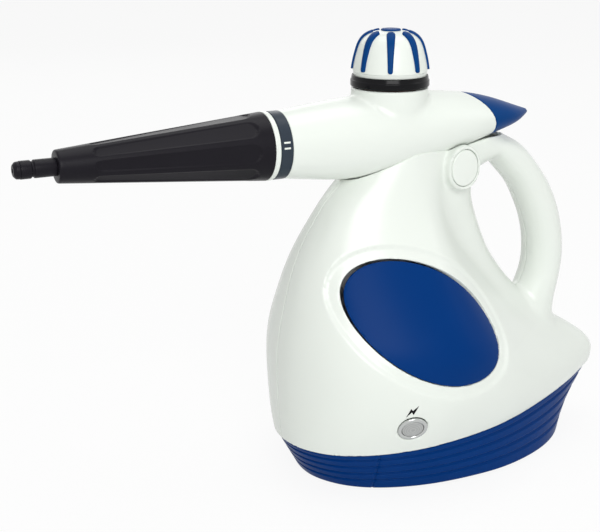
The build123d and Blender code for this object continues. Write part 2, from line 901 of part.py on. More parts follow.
behind_arc = less(lever_region, across_body(lever_arc, hinge_x, hinge_z, -reach, reach))
lever_side = less(lever_region, across_body(lever_arc + running_gap, hinge_x, hinge_z, -reach, reach))
with BuildPart() as barrel_cover:
    add(barrel_solid)
    add(barrel_hollow, mode=Mode.SUBTRACT)
    add(disc(filler_axis, funnel_low_z, neck_lip_z, neck_radius))
    add(disc(filler_axis, funnel_top_z, cap_rim_z, neck_bore), mode=Mode.SUBTRACT)
    add(disc(filler_axis, barrel_z, cap_rim_z, tube_radius + running_gap), mode=Mode.SUBTRACT)
    add(disc(filler_axis, neck_lip_z, cap_rim_z, neck_ring_room), mode=Mode.SUBTRACT)
    add(disc(barrel_axis, body_front_x, stub_rear_x + chamfer, ring_spigot_radius + seam_gap),
        mode=Mode.SUBTRACT)
    add(belly_hollow, mode=Mode.SUBTRACT)
    add(box(slot_front_x, slot_rear_x, -lever_half - slot_gap, lever_half + slot_gap, lock_z, slot_top_z),
        mode=Mode.SUBTRACT)
    add(hinge_room, mode=Mode.SUBTRACT)
    for room in bracket_rooms:
        add(room, mode=Mode.SUBTRACT)
    add(behind_arc, mode=Mode.SUBTRACT)

with BuildPart() as steam_lever:
    add(barrel_solid)
    add(barrel_hollow, mode=Mode.SUBTRACT)
    add(lever_side, mode=Mode.INTERSECT)
    add(plate(Plane.XZ.offset(-lever_half), arm_outline, 2 * lever_half))
    add(across_body(hub_radius, hinge_x, hinge_z, -hub_half, hub_half))
    add(box(fork_front_x, hinge_x, -fork_half, fork_half, fork_low_z, fork_top_z))
    add(box(heel_front_x, heel_rear_x, -lever_half, lever_half, heel_low_z, hinge_z))
    add(box(fork_front_x - chamfer, fork_slot_rear_x, -lever_half, lever_half,
            fork_low_z - chamfer, fork_top_z + chamfer), mode=Mode.SUBTRACT)
    add(across_body(pin_radius + shaft_gap, hinge_x, hinge_z, -reach, reach), mode=Mode.SUBTRACT)

# Base
base_levels = [(0, 0)]
for t in groove_shares:
    base_levels += [(t - groove_half_share, 0), (t, groove_depth), (t + groove_half_share, 0)]
base_levels += [(1, 0)]
with BuildPart() as base_pan:
    loft(sections=[base_section(t, inset) for t, inset in base_levels], ruled=True)
    add(pan_lip())
    add(pan_room(), mode=Mode.SUBTRACT)
    for x, y in post_places:
        add(upright(post_radius, x, y, post_foot_z, flange_low_z, rod_sides))
        add(upright(screw_radius + press_gap, x, y, flange_low_z - post_bore_depth, flange_low_z, rod_sides),
            mode=Mode.SUBTRACT)
    for x, y in base_boss_places:
        near, far = sorted((y, y + y / abs(y) * boss_rib_reach))
        boss_top_z = rim_height(x) - boss_joint_gap
        add(box(x - boss_rib_half - running_gap, x + boss_rib_half + running_gap, near, far,
                rim_height(x) - seam_gap, base_boss_top_z), mode=Mode.SUBTRACT)
        add(upright(boss_radius, x, y, post_foot_z, boss_top_z, rod_sides))
        add(upright(screw_radius + press_gap, x, y, 0, boss_top_z, rod_sides), mode=Mode.SUBTRACT)
        add(upright(screw_head_radius + running_gap, x, y, 0, base_screw_seat_z, rod_sides),
            mode=Mode.SUBTRACT)
    for x, y in foot_places:
        add(upright(foot_radius + press_gap, x, y, 0, foot_height, ring_sides), mode=Mode.SUBTRACT)
    add(disc(gland_axis, gland_seat, gland_recess_end, gland_recess_radius), mode=Mode.SUBTRACT)
    add(disc(gland_axis, -gland_recess_end, gland_recess_end, gland_radius + press_gap), mode=Mode.SUBTRACT)

with BuildPart() as rubber_feet:
    for x, y in foot_places:
        add(upright(foot_radius, x, y, 0, foot_height, ring_sides))
with BuildPart() as case_screws:
    for x, z in boss_places:
        add(screw((x, screw_seat_y, z), (0, 1, 0), screw_seat_y - screw_end_y))
with BuildPart() as base_screws:
    for x, y in base_boss_places:
        add(screw((x, y, base_screw_seat_z), (0, 0, -1), base_screw_end_z - base_screw_seat_z))

cord_gland = turned([
    (gland_ends[0], gland_bore), (gland_ends[0], gland_radius), (gland_seat, gland_radius),
    (gland_seat, gland_flange_radius), (gland_flange_top, gland_flange_radius),
    (gland_flange_top, gland_radius), (gland_ends[1], gland_nose_radius), (gland_ends[1], gland_bore),
], gland_axis)

terminal_x, terminal_y, terminal_z = terminal_corner
block_length, block_width, block_height = terminal_size
terminal_slots_at = [terminal_x + (k + 0.5) * terminal_pitch for k in range(terminal_slots)]
terminal_block = less(
    box(terminal_x, terminal_x + block_length, terminal_y, terminal_y + block_width,
        terminal_z, terminal_z + block_height),
    *[box(x, x + terminal_slot_width, terminal_y - chamfer, terminal_y + block_width + chamfer,
          terminal_slot_floor_z, terminal_z + block_height + chamfer) for x in terminal_slots_at],
)

# Boiler
inner_radius = boiler_radius - boiler_wall
with BuildPart() as boiler_lower:
    add(turned([
        (boiler_low_z, 0), (boiler_low_z, boiler_radius - boiler_floor_edge),
        (boiler_low_z + boiler_floor_edge, boiler_radius), (flange_low_z, boiler_radius),
        (flange_low_z, flange_radius), (flange_mid_z, flange_radius), (flange_mid_z, inner_radius),
        (boiler_low_z + boiler_wall, inner_radius), (boiler_low_z + boiler_wall, 0),
    ], filler_axis))
    for x, y in post_places:
        add(upright(lug_radius, x, y, flange_low_z, flange_mid_z, rod_sides))
    add(holes(bolt_places + post_places, screw_radius + press_gap, flange_low_z, flange_mid_z),
        mode=Mode.SUBTRACT)
boiler_gasket = less(
    washer(filler_axis, flange_mid_z, flange_mid_z + gasket_thick, flange_radius, inner_radius),
    holes(bolt_places, screw_radius + press_gap, flange_mid_z, flange_top_z),
    holes(post_places, screw_head_radius + running_gap, flange_mid_z, flange_top_z),
)
boiler_upper = less(
    turned([
        (flange_mid_z + gasket_thick, inner_radius), (flange_mid_z + gasket_thick, flange_radius),
        (flange_top_z, flange_radius), (flange_top_z, boiler_radius), (dome_low_z, boiler_radius),
        (dome_shoulder_z, dome_shoulder_radius), (dome_top_z, tube_radius + boiler_wall),
        (neck_top_z, tube_radius + boiler_wall), (neck_top_z, tube_radius + press_gap),
        (dome_top_z - boiler_wall, tube_radius + press_gap),
        (dome_shoulder_z - boiler_wall, dome_shoulder_radius - boiler_wall), (dome_low_z, inner_radius),
    ], filler_axis),
    holes(bolt_places, screw_radius + press_gap, flange_mid_z, flange_top_z),
    holes(post_places, screw_head_radius + running_gap, flange_mid_z, flange_top_z),
    disc(valve_axis, dome_low_z, neck_top_z, riser_radius + press_gap),
)
boiler_jacket = less(
    washer(filler_axis, jacket_low_z, jacket_top_z, jacket_radius, boiler_radius + seam_gap),
    holes(post_places, post_radius + running_gap, jacket_low_z, jacket_top_z),
)
with BuildPart() as boiler_screws:
    for x, y in bolt_places:
        add(screw((x, y, flange_top_z), (0, 0, 1), flange_screw_length))
with BuildPart() as post_screws:
    for x, y in post_places:
        add(screw((x, y, flange_mid_z), (0, 0, 1), post_screw_length))
filler_tube = ring(filler_axis, tube_low_z, tube_top_z, tube_radius, tube_bore)
heater_plate = washer(filler_axis, heater_low_z, boiler_low_z, heater_radius, heater_bore)
with BuildSketch(Plane.XZ) as element_section:
    with Locations((filler_x + element_circle, heater_low_z - element_radius)):
        RegularPolygon(element_radius, head_sides)
with BuildPart() as heating_element:
    revolve(element_section.sketch, axis=filler_axis, revolution_arc=element_turn)
thermostat = joined(
    disc(thermostat_axis, thermostat_low_z, heater_low_z, thermostat_radius),
    *[box(x - blade_half, x + blade_half, thermostat_y - blade_half_length, thermostat_y + blade_half_length,
          blade_low_z, thermostat_low_z + blade_half) for x in (filler_x - blade_x, filler_x + blade_x)],
)
thermal_fuse = joined(*[
    rod(radius, (filler_x - half, fuse_y, heater_low_z - fuse_radius),
        (filler_x + half, fuse_y, heater_low_z - fuse_radius), rod_sides)
    for radius, half in ((fuse_radius, fuse_half_length), (fuse_wire_radius, fuse_wire_half_length))
])

# Steam line
steam_pipe = washer(valve_axis, riser_foot_z, valve_low_z, riser_radius, valve_inlet_radius)
valve_body = less(
    turned([
        (valve_low_z, valve_inlet_radius), (valve_low_z, valve_radius), (valve_top_z, valve_radius),
        (valve_top_z, stem_radius + shaft_gap), (valve_top_z - valve_end_wall, stem_radius + shaft_gap),
        (valve_top_z - valve_end_wall, valve_room), (valve_low_z + valve_end_wall, valve_room),
        (valve_low_z + valve_end_wall, valve_inlet_radius),
    ], valve_axis),
    rod(pipe_bore, (valve_x, 0, valve_outlet_z), (valve_x, valve_radius + chamfer, valve_outlet_z)),
)
valve_plunger = joined(
    disc(valve_axis, plunger_low_z, plunger_low_z + plunger_disc, plunger_radius),
    disc(valve_axis, plunger_low_z, plunger_head_z, stem_radius),
    disc(valve_axis, plunger_head_z, plunger_head_z + plunger_head_height, plunger_head_radius),
)
valve_spring = washer(valve_axis, plunger_low_z + plunger_disc + running_gap,
                      valve_top_z - valve_end_wall - running_gap, valve_spring_radius, valve_spring_bore)
with BuildLine() as outlet_line:
    Polyline(*outlet_path)
with BuildSketch(Plane(origin=outlet_path[0], z_dir=outlet_line.line % 0)) as outlet_section:
    RegularPolygon(pipe_radius, rod_sides)
with BuildPart() as outlet_pipe:
    sweep(outlet_section.sketch, path=outlet_line.line, transition=Transition.RIGHT)
outlet_stub = turned([
    (stub_tip_x, stub_bore), (stub_tip_x, stub_radius), (stub_rear_x, stub_radius),
    (stub_rear_x, pipe_radius + press_gap), (stub_rear_x - stub_seat, pipe_radius + press_gap),
    (stub_rear_x - stub_seat, stub_bore),
], barrel_axis)
nozzle_socket = washer(barrel_axis, socket_front_x, socket_rear_x, ring_rear_bore - press_gap,
                       stub_radius + press_gap)

# Front ring and nozzle
with BuildPart() as end_ring:
    add(turned([
        (ring_front_x, ring_bore), (ring_front_x, ring_radius - chamfer),
        (ring_front_x + chamfer, ring_radius),
        (ring_rear_x, ring_radius), (ring_rear_x, ring_spigot_radius), (stub_rear_x, ring_spigot_radius),
        (stub_rear_x, ring_rear_bore), (groove_rear_x, ring_rear_bore), (groove_rear_x, groove_radius),
        (groove_front_x, groove_radius), (groove_front_x, ring_bore),
    ], barrel_axis))
    for start in bayonet_starts:
        add(sector(groove_radius, start - bayonet_margin, start + twist_turn + bayonet_margin,
                   ring_front_x - chamfer, groove_front_x + chamfer), mode=Mode.SUBTRACT)

spigot_edge_x = collar_front_x - lip_wall
lugs = common(
    ring(barrel_axis, groove_front_x + running_gap, groove_rear_x - running_gap, lug_outer,
         spigot_radius - chamfer),
    box(groove_front_x, groove_rear_x, -lug_half_width, lug_half_width, barrel_z - reach, barrel_z + reach),
)
with BuildPart() as nozzle_cone:
    add(turned([
        (cone_tip_x, tip_seat_radius), (cone_tip_x, cone_tip_radius - chamfer),
        (cone_tip_x + chamfer, cone_tip_radius), (collar_front_x, cone_rear_radius),
        (collar_front_x, spigot_radius), (spigot_rear_x, spigot_radius), (spigot_rear_x, spigot_bore),
        (spigot_edge_x, spigot_bore), (spigot_edge_x, cone_radius(spigot_edge_x) - cone_wall),
        (cone_seat_x, cone_radius(cone_seat_x) - cone_wall), (cone_seat_x, tip_seat_radius),
    ], barrel_axis))
    add(washer(barrel_axis, cone_rib_front_x, cone_rib_rear_x, cone_rib_radius, liner_radius + press_gap))
    add(lugs)
    for k in range(flute_count):
        add(flute().rotate(barrel_axis, 360 * k / flute_count), mode=Mode.SUBTRACT)
nozzle_collar = ring(barrel_axis, collar_front_x + press_gap, collar_rear_x, collar_rim_radius,
                     spigot_radius + press_gap)
nozzle_liner = turned([
    (liner_tip_x, liner_bore), (liner_tip_x, liner_radius), (liner_step_x, liner_radius),
    (liner_step_x, liner_socket_radius), (liner_rear_x, liner_socket_radius),
    (liner_rear_x, oring_radius + shaft_gap), (liner_socket_front_x, oring_radius + shaft_gap),
    (liner_socket_front_x, liner_bore),
], barrel_axis)
groove_floor = nozzle_tip_radius - tip_groove_depth
nozzle_tip = less(
    turned([
        (nose_x, tip_bore), (nose_x, nozzle_tip_radius), (tip_groove_front_x, nozzle_tip_radius),
        (tip_groove_front_x + tip_groove_depth, groove_floor),
        (tip_groove_rear_x - tip_groove_depth, groove_floor), (tip_groove_rear_x, nozzle_tip_radius),
        (cone_tip_x, nozzle_tip_radius), (cone_tip_x, tip_seat_radius - press_gap),
        (cone_seat_x, tip_seat_radius - press_gap), (cone_seat_x, liner_radius + press_gap),
        (liner_tip_x, liner_radius + press_gap), (liner_tip_x, tip_bore),
    ], barrel_axis),
    rod(tip_hole_radius, (tip_hole_x, -neck_bore, barrel_z), (tip_hole_x, -liner_radius, barrel_z),
        rod_sides),
)
nozzle_nose = turned([
    (tip_x, tip_bore), (tip_x, nose_tip_radius), (tip_x + nose_edge, nose_radius), (nose_x, nose_radius),
    (nose_x, tip_bore),
], barrel_axis)
nozzle_oring = ring(barrel_axis, oring_front_x, oring_rear_x, oring_radius, stub_radius + shaft_gap)

# Lever pin, springs and lock
lever_pin = across_body(pin_radius, hinge_x, hinge_z, -bracket_outer_y, bracket_outer_y)
lever_spring = washer(hinge_axis, hub_half + lever_spring_gap, bracket_y - press_gap, lever_spring_radius,
                      lever_spring_bore)
lock_shoulder_y = lock_face_y + lock_travel - lock_head
lock_button = turned([
    (-lock_face_y, 0), (-lock_face_y, lock_head_radius - lock_edge),
    (-lock_face_y + lock_edge, lock_head_radius), (-lock_face_y + lock_head, lock_head_radius),
    (-lock_face_y + lock_head, lock_core_radius), (lock_shoulder_y, lock_core_radius),
    (lock_shoulder_y, lock_spigot_radius), (lock_face_y, lock_spigot_radius), (lock_face_y, 0),
], lock_axis)
lock_cap = turned([
    (lock_shoulder_y, lock_spigot_radius + press_gap), (lock_shoulder_y, lock_head_radius),
    (lock_face_y + lock_travel - lock_edge, lock_head_radius),
    (lock_face_y + lock_travel, lock_head_radius - lock_edge), (lock_face_y + lock_travel, 0),
    (lock_face_y + seam_gap, 0), (lock_face_y + seam_gap, lock_spigot_radius + press_gap),
], lock_axis)

# Pilot lamp
pilot_bezel = turned([
    (lamp_barrel_end, lamp_bore), (lamp_barrel_end, lamp_barrel_radius), (lamp_seat, lamp_barrel_radius),
    (lamp_seat, lamp_flange_radius), (lamp_edge, lamp_flange_radius), (lamp_face, lamp_lip_radius),
    (lamp_face, lamp_bore),
], lamp_axis)
pilot_lens = turned([
    (lens_low, 0), (lens_low, lamp_bore - press_gap), (lens_side, lamp_bore - press_gap),
    (lamp_face, lens_step_radius), (lens_crown, 0),
], lamp_axis)
pilot_lamp = turned([
    (holder_end, 0), (holder_end, holder_radius), (holder_flange_low, holder_radius),
    (holder_flange_low, holder_flange_radius), (holder_flange_top, holder_flange_radius),
    (holder_flange_top, bulb_radius), (bulb_end, bulb_radius), (bulb_end, 0),
], lamp_axis)

# Cap
cap_gasket = washer(filler_axis, gasket_low_z, gasket_top_z, gasket_outer, gasket_inner)
cap_slip_washer = washer(filler_axis, slip_low_z, slip_top_z, gasket_outer, gasket_inner)
cap_base = less(
    turned([
        (cap_floor_z, cap_hub_bore), (cap_floor_z, cap_ring_radius - chamfer),
        (cap_floor_z + chamfer, cap_ring_radius), (cap_rim_z - chamfer, cap_ring_radius),
        (cap_rim_z, cap_ring_radius - chamfer), (cap_rim_z, cap_bead_radius), (cap_bead_z, cap_bead_radius),
        (cap_bead_z, cap_channel_radius), (cap_floor_top_z, cap_channel_radius),
        (cap_floor_top_z, cap_hub_radius), (cap_hub_z, cap_hub_radius), (cap_hub_z, hub_hole_radius),
        (hub_roof_z, hub_hole_radius), (hub_roof_z, cap_hub_bore),
    ], filler_axis),
    box(filler_x - cap_notch_half, filler_x + cap_notch_half, -cap_ring_radius - overrun,
        -cap_ring_radius + cap_notch_depth, cap_floor_z - overrun, cap_floor_z + cap_notch_height),
)
cap_plug = turned([
    (plug_low_z, relief_bore), (plug_low_z, plug_radius - plug_edge), (plug_low_z + plug_edge, plug_radius),
    (plug_top_z, plug_radius), (plug_top_z, cap_hub_bore - press_gap),
    (spigot_top_z, cap_hub_bore - press_gap), (spigot_top_z, relief_bore),
], filler_axis)
relief_poppet = joined(
    disc(filler_axis, poppet_low_z, poppet_top_z, poppet_radius),
    disc(filler_axis, poppet_low_z, poppet_stem_z, poppet_stem_radius),
)
relief_spring = washer(filler_axis, poppet_top_z + running_gap, hub_roof_z - press_gap, relief_spring_radius,
                       relief_spring_bore)
cap_spring = washer(filler_axis, cap_floor_top_z + press_gap, washer_low_z - running_gap, cap_spring_radius,
                    cap_spring_bore)
cap_washer = washer(filler_axis, washer_low_z, washer_top_z, washer_outer, washer_inner)

dome_room = less(dome_solid(-dome_inner_wall),
                 ring(filler_axis, press_tube_z, disc_top_z, press_tube_outer, press_tube_inner))
with BuildPart() as cap_dome:
    add(dome_solid(0))
    add(ring(filler_axis, skirt_low_z, skirt_top_z, reach, skirt_radius), mode=Mode.SUBTRACT)
    add(ring(filler_axis, skirt_low_z, skirt_lip_z, skirt_lip_radius, skirt_radius - skirt_wall))
    add(dome_room, mode=Mode.SUBTRACT)
    add(disc(filler_axis, disc_low_z, disc_top_z, disc_radius + press_gap), mode=Mode.SUBTRACT)
    add(disc(filler_axis, disc_spigot_low_z - chamfer, disc_top_z, disc_spigot_radius + press_gap),
        mode=Mode.SUBTRACT)
rib_shell = less(dome_solid(rib_proud), dome_solid(0))
rib_outline = (
    (rib_inner_radius, -rib_inner_half), (cap_ring_radius, -rib_outer_half),
    (cap_ring_radius, rib_outer_half), (rib_inner_radius, rib_inner_half),
)
with BuildPart() as cap_ribs:
    for k in range(rib_count):
        turn = radians(rib_first_turn + 360 * k / rib_count)
        place = Plane(origin=(filler_x, 0, rib_low_z), x_dir=(cos(turn), sin(turn), 0), z_dir=(0, 0, 1))
        add(common(rib_shell, plate(place, rib_outline, disc_top_z - rib_low_z)))
cap_disc = turned([
    (disc_spigot_low_z, 0), (disc_spigot_low_z, disc_spigot_radius), (disc_low_z, disc_spigot_radius),
    (disc_low_z, disc_radius), (disc_top_z - disc_edge, disc_radius), (disc_top_z, disc_radius - disc_edge),
    (disc_top_z, 0),
], filler_axis)

nodes = {
    "left_shell": left_shell.part, "right_shell": right_shell.part, "left_oval_panel": left_oval_panel,
    "right_oval_panel": right_oval_panel, "barrel_cover": barrel_cover.part, "base_pan": base_pan.part,
    "rubber_feet": rubber_feet.part, "case_screws": case_screws.part, "base_screws": base_screws.part,
    "cord_gland": cord_gland, "terminal_block": terminal_block, "boiler_lower": boiler_lower.part,
    "boiler_gasket": boiler_gasket, "boiler_upper": boiler_upper, "boiler_jacket": boiler_jacket,
    "boiler_screws": boiler_screws.part, "post_screws": post_screws.part, "filler_tube": filler_tube,
    "heater_plate": heater_plate, "heating_element": heating_element.part, "thermostat": thermostat,
    "thermal_fuse": thermal_fuse, "steam_pipe": steam_pipe, "valve_body": valve_body,
    "valve_plunger": valve_plunger, "valve_spring": valve_spring, "outlet_pipe": outlet_pipe.part,
    "outlet_stub": outlet_stub, "nozzle_socket": nozzle_socket, "end_ring": end_ring.part,
    "nozzle_cone": nozzle_cone.part, "nozzle_collar": nozzle_collar, "nozzle_liner": nozzle_liner,
    "nozzle_tip": nozzle_tip, "nozzle_nose": nozzle_nose, "nozzle_oring": nozzle_oring,
    "lever_pin": lever_pin, "lever_spring": lever_spring, "steam_lever": steam_lever.part,
    "lock_button": lock_button, "lock_cap": lock_cap, "pilot_bezel": pilot_bezel,
    "pilot_lens": pilot_lens, "pilot_lamp": pilot_lamp, "cap_gasket": cap_gasket,
    "cap_slip_washer": cap_slip_washer, "cap_base": cap_base, "cap_plug": cap_plug,
    "relief_poppet": relief_poppet, "relief_spring": relief_spring, "cap_spring": cap_spring,
    "cap_washer": cap_washer, "cap_dome": cap_dome.part, "cap_ribs": cap_ribs.part, "cap_disc": cap_disc,
}
for label, piece in nodes.items():
    piece.label = label
    export_step(piece, f"parts/{label}.step")
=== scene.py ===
import copy
import json
import math

import bmesh
import bpy
import numpy as np
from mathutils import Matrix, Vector


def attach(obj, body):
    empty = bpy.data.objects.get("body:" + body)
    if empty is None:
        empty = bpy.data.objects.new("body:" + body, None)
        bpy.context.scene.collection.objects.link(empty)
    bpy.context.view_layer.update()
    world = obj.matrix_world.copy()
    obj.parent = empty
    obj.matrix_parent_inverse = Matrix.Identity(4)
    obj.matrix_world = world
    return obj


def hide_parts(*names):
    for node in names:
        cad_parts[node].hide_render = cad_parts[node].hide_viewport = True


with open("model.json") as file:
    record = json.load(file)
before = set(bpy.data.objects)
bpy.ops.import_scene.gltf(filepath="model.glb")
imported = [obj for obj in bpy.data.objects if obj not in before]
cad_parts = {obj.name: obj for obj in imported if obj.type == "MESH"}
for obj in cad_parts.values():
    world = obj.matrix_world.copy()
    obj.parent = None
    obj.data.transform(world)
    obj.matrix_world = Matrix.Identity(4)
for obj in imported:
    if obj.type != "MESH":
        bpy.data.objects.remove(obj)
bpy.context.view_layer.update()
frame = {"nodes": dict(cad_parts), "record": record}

MM = 0.001

# All sizes are in millimetres. Levels of the body: height, front, widest place, rear and half width
LEVELS = np.array([
    (10.0, -36.9, 36.2, 169.6, 49.6), (30.0, -41.9, 38.6, 184.0, 58.0), (49.9, -43.5, 41.0, 190.3, 66.8),
    (66.0, -44.0, 45.7, 173.1, 71.9), (80.1, -44.0, 48.0, 150.0, 73.0), (96.0, -42.3, 45.9, 127.1, 69.0),
    (111.9, -39.0, 43.1, 110.1, 60.0), (128.1, -35.0, 40.0, 95.0, 49.5), (145.0, -28.4, 37.9, 82.0, 39.0),
    (162.0, -18.5, 36.0, 78.0, 30.5), (178.0, -6.0, 36.0, 81.1, 25.6), (192.0, 7.9, 37.9, 91.9, 23.0),
    (212.0, 20.0, 40.0, 100.0, 21.0),
])
BOW = ((1.0, 0.0), (0.985, 0.20), (0.93, 0.40), (0.81, 0.63), (0.60, 0.83), (0.30, 0.965))
SLIM_STERN = ((0.0, 1.0), (0.24, 0.90), (0.46, 0.69), (0.66, 0.46), (0.82, 0.27), (0.93, 0.145),
              (0.985, 0.07), (1.0, 0.0))
FULL_STERN = ((0.0, 1.0), (0.22, 0.95), (0.42, 0.81), (0.62, 0.60), (0.79, 0.385), (0.92, 0.19),
              (0.985, 0.075), (1.0, 0.0))
FLOOR_STERN = ((0.0, 1.0), (0.20, 0.985), (0.42, 0.90), (0.62, 0.76), (0.79, 0.57), (0.92, 0.33),
               (0.985, 0.13), (1.0, 0.0))

BODY_FRONT, BODY_LENGTH, BODY_HEIGHT = -44.0, 236.0, 192.0
RIM_FRONT_Z, RIM_RISE = 26.0, 13.0

# Grip and web: the two edges of each bar, as shares of the body's length and height
GRIP = (
    ((0.480, 1.066), (0.480, 0.962)), ((0.560, 1.062), (0.560, 0.958)), ((0.627, 1.052), (0.606, 0.969)),
    ((0.691, 1.018), (0.644, 0.927)), ((0.746, 0.953), (0.682, 0.875)), ((0.792, 0.880), (0.714, 0.807)),
    ((0.826, 0.797), (0.737, 0.740)), ((0.847, 0.708), (0.750, 0.672)), ((0.854, 0.620), (0.752, 0.609)),
    ((0.847, 0.536), (0.742, 0.550)), ((0.838, 0.458), (0.715, 0.470)), ((0.835, 0.360), (0.690, 0.360)),
)
WEB = (
    ((0.790, 0.440), (0.700, 0.330)), ((0.700, 0.525), (0.600, 0.430)), ((0.644, 0.609), (0.540, 0.540)),
    ((0.608, 0.682), (0.490, 0.625)), ((0.576, 0.766), (0.440, 0.735)), ((0.553, 0.844), (0.410, 0.844)),
    ((0.551, 0.901), (0.410, 0.935)), ((0.566, 0.948), (0.430, 1.030)), ((0.605, 0.990), (0.490, 1.110)),
)
GRIP_HALF, WEB_HALF = 14.5, 15.0
# Barrel: x, half width, underside and top
BARREL = np.array([
    (-42.0, 19.0, 188.0, 226.0), (-14.0, 22.0, 184.5, 229.3), (15.0, 24.5, 184.0, 231.2),
    (45.0, 25.0, 189.0, 231.0), (75.0, 23.5, 196.0, 228.8), (100.0, 18.0, 203.0, 223.6),
    (116.0, 10.5, 207.5, 218.2), (125.5, 3.0, 211.6, 215.0),
])
OVAL_AT, OVAL_HALF, OVAL_TILT, OVAL_BAND = (26.5, 107.1), (49.5, 30.3), math.radians(-28.2), 8.0
HINGE, LEVER_SEAM, SEAM_RADIUS = (72.0, 197.0), (62.0, 204.0), 29.8
LOCK, LOCK_RADIUS = (69.0, 187.5), 10.9
# The lock's head is narrower than high, and stands a little ahead of its bolt
LOCK_HEAD_X, LOCK_NARROW = 67.4, 0.83
FILLER_X, BARREL_Z = 29.0, 207.0
UPRIGHT, NOZZLE_AXIS = ((FILLER_X, 0, 0), (0, 0, 1)), ((0, 0, BARREL_Z), (1, 0, 0))
LAMP_AT = np.array((12.7, -62.3, 47.4))
LAMP_OUT = np.array((-0.25, -0.87, -0.42)) / np.linalg.norm((-0.25, -0.87, -0.42))
SCREWS = ((-31.0, 85.0), (2.0, 166.0), (93.0, 191.5), (146.0, 122.0), (150.0, 58.0))
SHELL_WALL, PANEL_WALL, COVER_WALL = 2.3, 2.6, 2.1
BAND_SINK, BAND_DISH, BAND_SLOPE, PANEL_SINK = 1.15, 0.75, 3.0, 1.8
COLLAR_RADIUS, COLLAR_FACE, COLLAR_EDGE = 13.4, 24.4, 1.5
NECK_RADIUS, NECK_TOP, BARREL_FRONT, BARREL_REAR = 22.4, 234.8, -42.0, 126.0
BED_GAP, LEVER_GAP, LOCK_GAP, OVAL_GAP, SHELL_GAP = 0.35, 0.3, 0.4, 0.2, 0.18
# How far from the middle the sides of the body start that carry the oval, and those that carry the lock
OVAL_SIDE, LOCK_SIDE, FAR_AWAY = 12.0, 15.0, 20.0
PRESSED = math.radians(5)
LAMP_HOLE, WELL_RADIUS = 8.95, 3.2


# Curves and fields. A field is a function of x, y and z that is below zero inside its form.
def spline(xs, ys):
    """A natural cubic through points, as a function of arrays."""
    xs, ys = np.asarray(xs, float), np.asarray(ys, float)
    count, step = len(xs), np.diff(xs)
    matrix, right = np.eye(count), np.zeros(count)
    for i in range(1, count - 1):
        matrix[i, i - 1:i + 2] = step[i - 1], 2 * (step[i - 1] + step[i]), step[i]
        right[i] = 6 * ((ys[i + 1] - ys[i]) / step[i] - (ys[i] - ys[i - 1]) / step[i - 1])
    bend = np.linalg.solve(matrix, right)

    def value(x):
        i = np.clip(np.searchsorted(xs, x) - 1, 0, count - 2)
        after, before = xs[i + 1] - x, x - xs[i]
        return ((bend[i] * after ** 3 + bend[i + 1] * before ** 3) / (6 * step[i])
                + (ys[i] / step[i] - bend[i] * step[i] / 6) * after
                + (ys[i + 1] / step[i] - bend[i + 1] * step[i] / 6) * before)
    return value


def reach_of(stern):
    """How far a level's outline reaches at each turn from the stern, as shares."""
    points = [*stern, *[(-u, v) for u, v in BOW[::-1]]]
    turn = np.array([math.atan2(v, u) for u, v in points])
    reach = np.array([math.hypot(u, v) for u, v in points])
    order = np.argsort(turn)
    turn, reach = turn[order], reach[order]
    turn = np.concatenate([-turn[2:0:-1], turn, 2 * math.pi - turn[-2:-4:-1]])
    reach = np.concatenate([reach[2:0:-1], reach, reach[-2:-4:-1]])
    table = np.linspace(0, math.pi, 721)
    values = spline(turn, reach)(table)
    return lambda t: np.interp(t, table, values)


level_curves = [spline(LEVELS[:, 0], LEVELS[:, k]) for k in range(1, 5)]
slim_reach, full_reach, floor_reach = reach_of(SLIM_STERN), reach_of(FULL_STERN), reach_of(FLOOR_STERN)
barrel_curves = [spline(BARREL[:, 0], BARREL[:, k]) for k in range(1, 4)]


def belly(x, y, z):
    front, widest, rear, half = (curve(z) for curve in level_curves)
    along = np.where(x < widest, (x - widest) / (widest - front), (x - widest) / (rear - widest))
    across = np.abs(y) / half
    turn = np.arctan2(across, along)
    slim = np.clip((z - 38.4) / 42.2, 0, 1)
    reach = full_reach(turn) * (1 - slim) + slim_reach(turn) * slim
    return (np.hypot(along, across) / reach - 1) * half


class Bar:
    """A bar of the hand loop: an oval that runs along a curve in the middle plane."""

    def __init__(self, pairs, half_thick):
        edges = (BODY_FRONT, 0) + np.array(pairs) * (BODY_LENGTH, BODY_HEIGHT)
        middle, half = edges.mean(axis=1), np.linalg.norm(edges[:, 0] - edges[:, 1], axis=1) / 2
        steps = np.linspace(0, len(pairs) - 1, 200)
        self.points = np.stack([spline(range(len(pairs)), middle[:, k])(steps) for k in (0, 1)], axis=1)
        self.half = spline(range(len(pairs)), half)(steps)
        run = np.gradient(self.points, axis=0)
        self.pace = np.linalg.norm(run, axis=1)
        self.run = run / self.pace[:, None]
        self.half_thick = half_thick

    def __call__(self, x, y, z):
        x, y, z = np.broadcast_arrays(x, y, z)
        flat = np.stack([x.ravel(), z.ravel()], axis=1)
        out = np.empty(len(flat))
        for start in range(0, len(flat), 20000):
            part = flat[start:start + 20000]
            gap = ((part[:, None, :] - self.points[None]) ** 2).sum(axis=2)
            near = gap.argmin(axis=1)
            offset = part - self.points[near]
            along = (offset * self.run[near]).sum(axis=1)
            side = offset[:, 0] * self.run[near][:, 1] - offset[:, 1] * self.run[near][:, 0]
            place = np.clip(near + along / self.pace[near], 0, len(self.points) - 1)
            half = np.interp(place, np.arange(len(self.points)), self.half)
            past = np.where((near == 0) | (near == len(self.points) - 1), along, 0)
            out[start:start + 20000] = np.hypot(side, past) / half
        out = out.reshape(x.shape)
        return (np.hypot(out, y / self.half_thick) - 1) * self.half_thick * 0.85


grip, web = Bar(GRIP, GRIP_HALF), Bar(WEB, WEB_HALF)


def blend_in(first, second, width):
    """Two forms run together with a soft fillet."""
    share = np.clip(0.5 + 0.5 * (second - first) / width, 0, 1)
    return second * (1 - share) + first * share - width * share * (1 - share)


